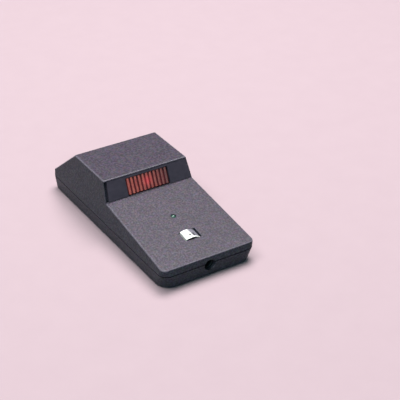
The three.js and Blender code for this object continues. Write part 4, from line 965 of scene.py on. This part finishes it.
def pin_bore():
    """The hole along the key's axis, which the pin runs in."""
    return moved(rod(PIN_BORE_RADIUS, -KEY_PAST, KEY_PAST, 32), turned(90, "X"))


def key_front_shade_band(inset, half_width_y):
    """A black band of painted shade on the key's front side only, which stops short of its top and of its
    two ends.
    """
    front = box(-KEY_PAST, KEY_PAST, -half_width_y, 0.6 - KEY_HALF_WIDTH, -KEY_PAST, KEY_PAST)
    return carve(front, [key_block(inset, half_width_y)], "INTERSECT")


def key_inlay(shape, name, top, bottom):
    """A printed mark: what a shape takes of the key's skin, between two depths below its surface."""
    skin = carve(carve(shape, [key_block(top)], "INTERSECT"), [key_block(bottom)])
    piece(skin, name, CASE @ KEY, KEY_INK, body="rocker")


def power_rocker():
    """A black core under a white cap with a sunk grey field, an O and an I; the core shows as a black
    band of painted shade on the front side.
    """
    core_side = KEY_HALF_WIDTH - 0.5
    under_cap = box(-KEY_PAST, KEY_PAST, -KEY_PAST, KEY_PAST, -KEY_PAST, -1.0)
    cap = carve(key_block(0), [key_block(KEY_CAP, core_side), under_cap, key_field(0)])
    # The cap gives way to the black band of painted shade on the front side.
    cap = carve(cap, [key_front_shade_band(KEY_RIM, KEY_HALF_WIDTH + 1), pin_bore()])
    piece(cap, "power_rocker_cap", CASE @ KEY, KEY_PLASTIC,
          ["power_rocker"], "rocker", ease=0.25)
    # Painted shade: the black band on the key's front side.
    front_shade_band = key_front_shade_band(KEY_RIM + 0.03, KEY_HALF_WIDTH - 0.03)
    core = carve(key_block(KEY_CAP + 0.02, core_side - 0.02), [front_shade_band], "UNION")
    hollow = box(-3.3, 3.3, -2.8, 2.8, -KEY_PAST, 1.3)
    core = carve(core, [hollow, pin_bore()])
    piece(core, "power_rocker_core", CASE @ KEY, BLACK_MOULDING,
          body="rocker", ease=0.08)
    low = carve(key_field(0.02), [key_block(FIELD_DROP, KEY_HALF_WIDTH - 0.05)], "INTERSECT")
    low = carve(low, [key_block(KEY_CAP + 0.01, core_side), pin_bore()])
    piece(low, "power_rocker_field", CASE @ KEY, KEY_FIELD, body="rocker", ease=0.03)
    ring = carve(rod(0.8, 1, 4, 40), [rod(0.22, 0, 5, 40)])
    key_inlay(moved(ring, at(-1.15, -0.97, 0)), "power_rocker_off_mark", -0.02, 0.01)
    stroke = box(0.9, 1.95, -2.2, 0.4, 1, 4)
    key_inlay(stroke, "power_rocker_on_mark", FIELD_DROP - 0.03, FIELD_DROP + 0.01)


# ---- power socket
def power_socket():
    """A square body with a round bore, and a centre pin with a rounded nose."""
    along = turned(-90, "X")
    half_x, low, high = 4.5, 3.2, 11
    body = box(-half_x, half_x, JACK_FRONT_Y, JACK_REAR_Y, low, high)
    radius, depth, chamfer = 3.0, 8.7, 0.5
    bore = lathe([(0, 0), (radius + chamfer, 0), (radius, chamfer), (radius, depth), (0, depth)], 56)
    bore = moved(bore, at(0, JACK_FRONT_Y - 0.01, JACK_Z) @ along)
    back = moved(rod(1.2, 6, 14, 32), at(0, JACK_FRONT_Y, JACK_Z) @ along)
    contact_slot = box(-1.6, 1.6, 4.6, JACK_REAR_Y + 1, 3, 4.3)
    body = carve(body, [bore, back, contact_slot])
    piece(body, "jack_housing_body", CASE, BLACK_MOULDING, ["jack_housing"], ease=0.15)
    radius, length = 1, 9.2
    nose = arc(0, radius, radius, -QUARTER + 0.3, 0, 6)
    pin = lathe([(0, 0), *nose, (radius, length), (0, length)], 32)
    piece(pin, "jack_centre_pin_rounded", CASE @ at(0, 5.6, JACK_Z) @ along, TIN,
          ["jack_centre_pin"])


# ---- magnetic pickup
def pickup_block(half_x, half_y):
    """The can and its bowed sensing face, in the case frame, cut down to half sizes."""
    sag = 1.4
    nose = (PICKUP_HALF_Y ** 2 + sag ** 2) / (2 * sag)
    half = asin(half_y / nose)
    outline = arc(0, PICKUP_BOTTOM_Z + nose, nose, -QUARTER - half, -QUARTER + half, 28)
    outline += [(half_y, PICKUP_TOP_Z), (-half_y, PICKUP_TOP_Z)]
    return moved(across_y(outline, -half_x, half_x), at(0, PICKUP_Y, 0) @ turned(90, "Z"))


def magnetic_head():
    """A polished can with a core let into its face, which the sensing gap splits."""
    low = FLOOR_TOP + CLEARANCE
    flange = box(-8.4, 8.4, PICKUP_Y - 5.8, PICKUP_Y + 5.8, low, low + 1)
    # The pocket that the core is let into.
    x, y, top = 4.6, 1.3, 1.1
    pocket = box(-x, x, PICKUP_Y - y, PICKUP_Y + y, BELOW, top)
    can = carve(pickup_block(PICKUP_HALF_X, PICKUP_HALF_Y), [flange], "UNION")
    piece(carve(can, [pocket]), "magnetic_head_can", CASE, PICKUP_METAL,
          ["magnetic_head"], "pickup", ease=0.12)
    above = box(-6, 6, PICKUP_Y - 2, PICKUP_Y + 2, top - 0.05, 12)
    sensing_gap = box(-5, 5, PICKUP_Y - 0.05, PICKUP_Y + 0.05, BELOW, 0.6)
    core = carve(carve(pickup_block(x - 0.08, y - 0.08), [above]), [sensing_gap])
    piece(core, "magnetic_head_core", CASE, BRASS, body="pickup")


def head_spring():
    """A coil spring between the can and the bracket, made at one fixed length."""
    wire, coil, turns, steps, sides, gap = 0.3, 2.4, 3, 120, 10, 0.2
    low, high = PICKUP_TOP_Z + gap + wire, BRACKET_TOP_Z - gap - wire
    verts, faces = [], []
    for i in range(steps + 1):
        angle = 2 * pi * turns * i / steps
        z = low + (high - low) * i / steps
        for j in range(sides):
            around = 2 * pi * j / sides
            reach = coil + wire * cos(around)
            verts.append((reach * cos(angle), reach * sin(angle), z + wire * sin(around)))
    for i in range(steps):
        for j in range(sides):
            a, b = i * sides + j, i * sides + (j + 1) % sides
            faces.append((a, a + sides, b + sides, b))
    faces.append(tuple(range(sides)))
    faces.append(tuple(reversed(range(steps * sides, (steps + 1) * sides))))
    spring = mesh_object("spring", verts, faces)
    piece(spring, "head_spring_coil", CASE @ at(0, PICKUP_Y, 0), TIN, ["head_spring"])
    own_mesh(spring)


# ---- battery
def rounded_bar(inset, y0, y1):
    """A bar along y with the battery's section, moved inwards."""
    radius = BATTERY_CORNER - inset
    half_x, half_z = BATTERY_HALF_X - BATTERY_CORNER, BATTERY_HEIGHT / 2 - BATTERY_CORNER
    middle = BATTERY_BOTTOM_Z + BATTERY_HEIGHT / 2
    outline = []
    for turn, (sx, sz) in enumerate(((1, -1), (1, 1), (-1, 1), (-1, -1))):
        start = QUARTER * (turn - 1)
        outline += arc(sx * half_x, middle + sz * half_z, radius, start, start + QUARTER, 8)
    return across_y(outline, y0, y1)


def battery():
    """A block battery: a plain jacket with a copper band, and a rolled steel rim at each end."""
    front, rear = BATTERY_FRONT_Y, BATTERY_FRONT_Y + BATTERY_LENGTH
    band, skin, rim = front + 14, 0.12, 0.72
    jacket = rounded_bar(skin, band, rear - 0.7)
    piece(jacket, "battery_jacket", CASE, BATTERY_JACKET, ["battery"])
    copper = rounded_bar(skin, front + 0.7, band)
    piece(copper, "battery_band", CASE, BATTERY_BAND)
    for name, y0, y1, out in (("front", front, front + rim, front), ("rear", rear - rim, rear, rear)):
        cap = carve(rounded_bar(0, y0, y1), [rounded_bar(0.9, out - 0.35, out + 0.35)])
        piece(cap, f"battery_rim_{name}", CASE, TIN, ease=0.2)


# ---- finishes of the CAD nodes that stay
# Each finish: its material, how far its edges are eased, and the nodes that have it.
NODE_FINISHES = (
    (LAMINATE, 0.08, ["main_board", "alarm_board"]),
    (BLACK_MOULDING, 0.12, ["amplifier_chip", "comparator_chip", "voltage_regulator"]),
    (BLACK_MOULDING, 0.15, ["battery_snap"]),
    (BLACK_MOULDING, 0.2, ["switch_body"]),
    (BLACK_MOULDING, 0.25, ["buzzer"]),
    (SLEEVE, 0.1, ["supply_capacitor", "filter_capacitor"]),
    (TIN, 0.08, ["rocker_pin"]),
    (TIN, 0.15, ["battery_terminal_plus", "battery_terminal_minus"]),
    (BRASS, 0.08, ["jack_sleeve_contact"]),
    (ZINC, 0.12, ["head_bracket"]),
    (NYLON, 0.15, ["power_led_spacer"]),
    (FOAM, 0.4, ["battery_pad"]),
    (WIRE_RED, 0, ["battery_lead_red", "alarm_lead_red"]),
    (WIRE_BLACK, 0, ["battery_lead_black", "alarm_lead_black"]),
    (WIRE_GREY, 0, ["head_lead"]),
)


def finish_node(node, material, ease):
    """Gives a carried node its material and eased edges."""
    if not node.material_slots:
        node.data.materials.append(material)
    for slot in node.material_slots:
        slot.material = material
    if ease:
        soften(node, ease)
    shade(node, 40)


def finish_nodes():
    for material, ease, names in NODE_FINISHES:
        for name in names:
            finish_node(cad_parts[name], material, ease)


# ---- floor and light, in metres
FLOOR_HALF_SIZE = 6
LAMP_REACH, LAMP_SIZE = 1.6, 0.9


def add_stage():
    """A sheet of plain pale pink paper."""
    bm = bmesh.new()
    bmesh.ops.create_grid(bm, x_segments=2, y_segments=2, size=FLOOR_HALF_SIZE)
    floor = from_bmesh("floor", bm)
    m = Nodes("floor paper")
    fibre = m.noise(60, 3, 0.6)
    m.set(Base_Color=m.ramp(fibre, [(0.3, FLOOR_DARK), (0.7, FLOOR_LIGHT)]))
    m.set(Roughness=0.95, Specular_IOR_Level=0.0)
    floor.data.materials.append(m.material)


def add_backdrop():
    """A pale round wall behind everything, which is seen but casts no light of its own."""
    radius, top, sides = 1.2, 1.4, 64
    verts = []
    for z in (-0.01, top):
        turns = [2 * pi * i / sides for i in range(sides)]
        verts += [(radius * cos(t), radius * sin(t), z) for t in turns]
    faces = [(i, (i + 1) % sides, sides + (i + 1) % sides, sides + i) for i in range(sides)]
    wall = mesh_object("backdrop", verts, faces)
    m = Nodes("backdrop paper")
    fibre = m.ramp(m.noise(20, 3, 0.6), [(0.3, (0.98,) * 3), (0.7, (1.0,) * 3)])
    height = m.span(m.axis(m.place(), "Z"), 0.0, 0.5, 0.0, 1.0)
    shade = m.ramp(height, [(0.0, BACKDROP_LOW), (1.0, BACKDROP_HIGH)])
    m.set(Emission_Color=m.mix(1.0, shade, fibre, "MULTIPLY"))
    m.set(Base_Color=(0, 0, 0, 1), Emission_Strength=1.0, Specular_IOR_Level=0.0)
    wall.data.materials.append(m.material)
    for ray in ("diffuse", "glossy", "shadow", "transmission"):
        setattr(wall, f"visible_{ray}", False)


def area_light(name, azimuth, elevation, power, colour=(1, 1, 1)):
    """A soft square lamp aimed at the middle of the floor."""
    turn, rise = radians(azimuth), radians(elevation)
    data = bpy.data.lights.new(name, "AREA")
    data.shape = "SQUARE"
    data.size = LAMP_SIZE
    data.energy = power
    data.color = colour
    light = scene_object(name, data)
    level = LAMP_REACH * cos(rise)
    light.location = (level * cos(turn), level * sin(turn), LAMP_REACH * sin(rise))
    light.rotation_euler = (-light.location).to_track_quat("-Z", "Y").to_euler()


def add_lights():
    area_light("rear_right_lamp", azimuth=45, elevation=70, power=61)
    area_light("left_lamp", azimuth=180, elevation=70, power=30)
    area_light("front_fill", azimuth=240, elevation=20, power=6.5, colour=FILL_COLOUR)
    world = bpy.data.worlds.new("world")
    world.use_nodes = True
    background = world.node_tree.nodes["Background"]
    background.inputs["Color"].default_value = (*SKY_COLOUR, 1)
    background.inputs["Strength"].default_value = 0.2
    bpy.context.scene.world = world
    bpy.context.scene.view_settings.view_transform = "Standard"


# ---- assembly
add_camera()
upper_shell()
lower_shell()
battery_door()
feet()
screws()
face_panel()
alarm_lens()
lamps()
power_rocker()
power_socket()
magnetic_head()
head_spring()
battery()
finish_nodes()
add_stage()
add_backdrop()
add_lights()
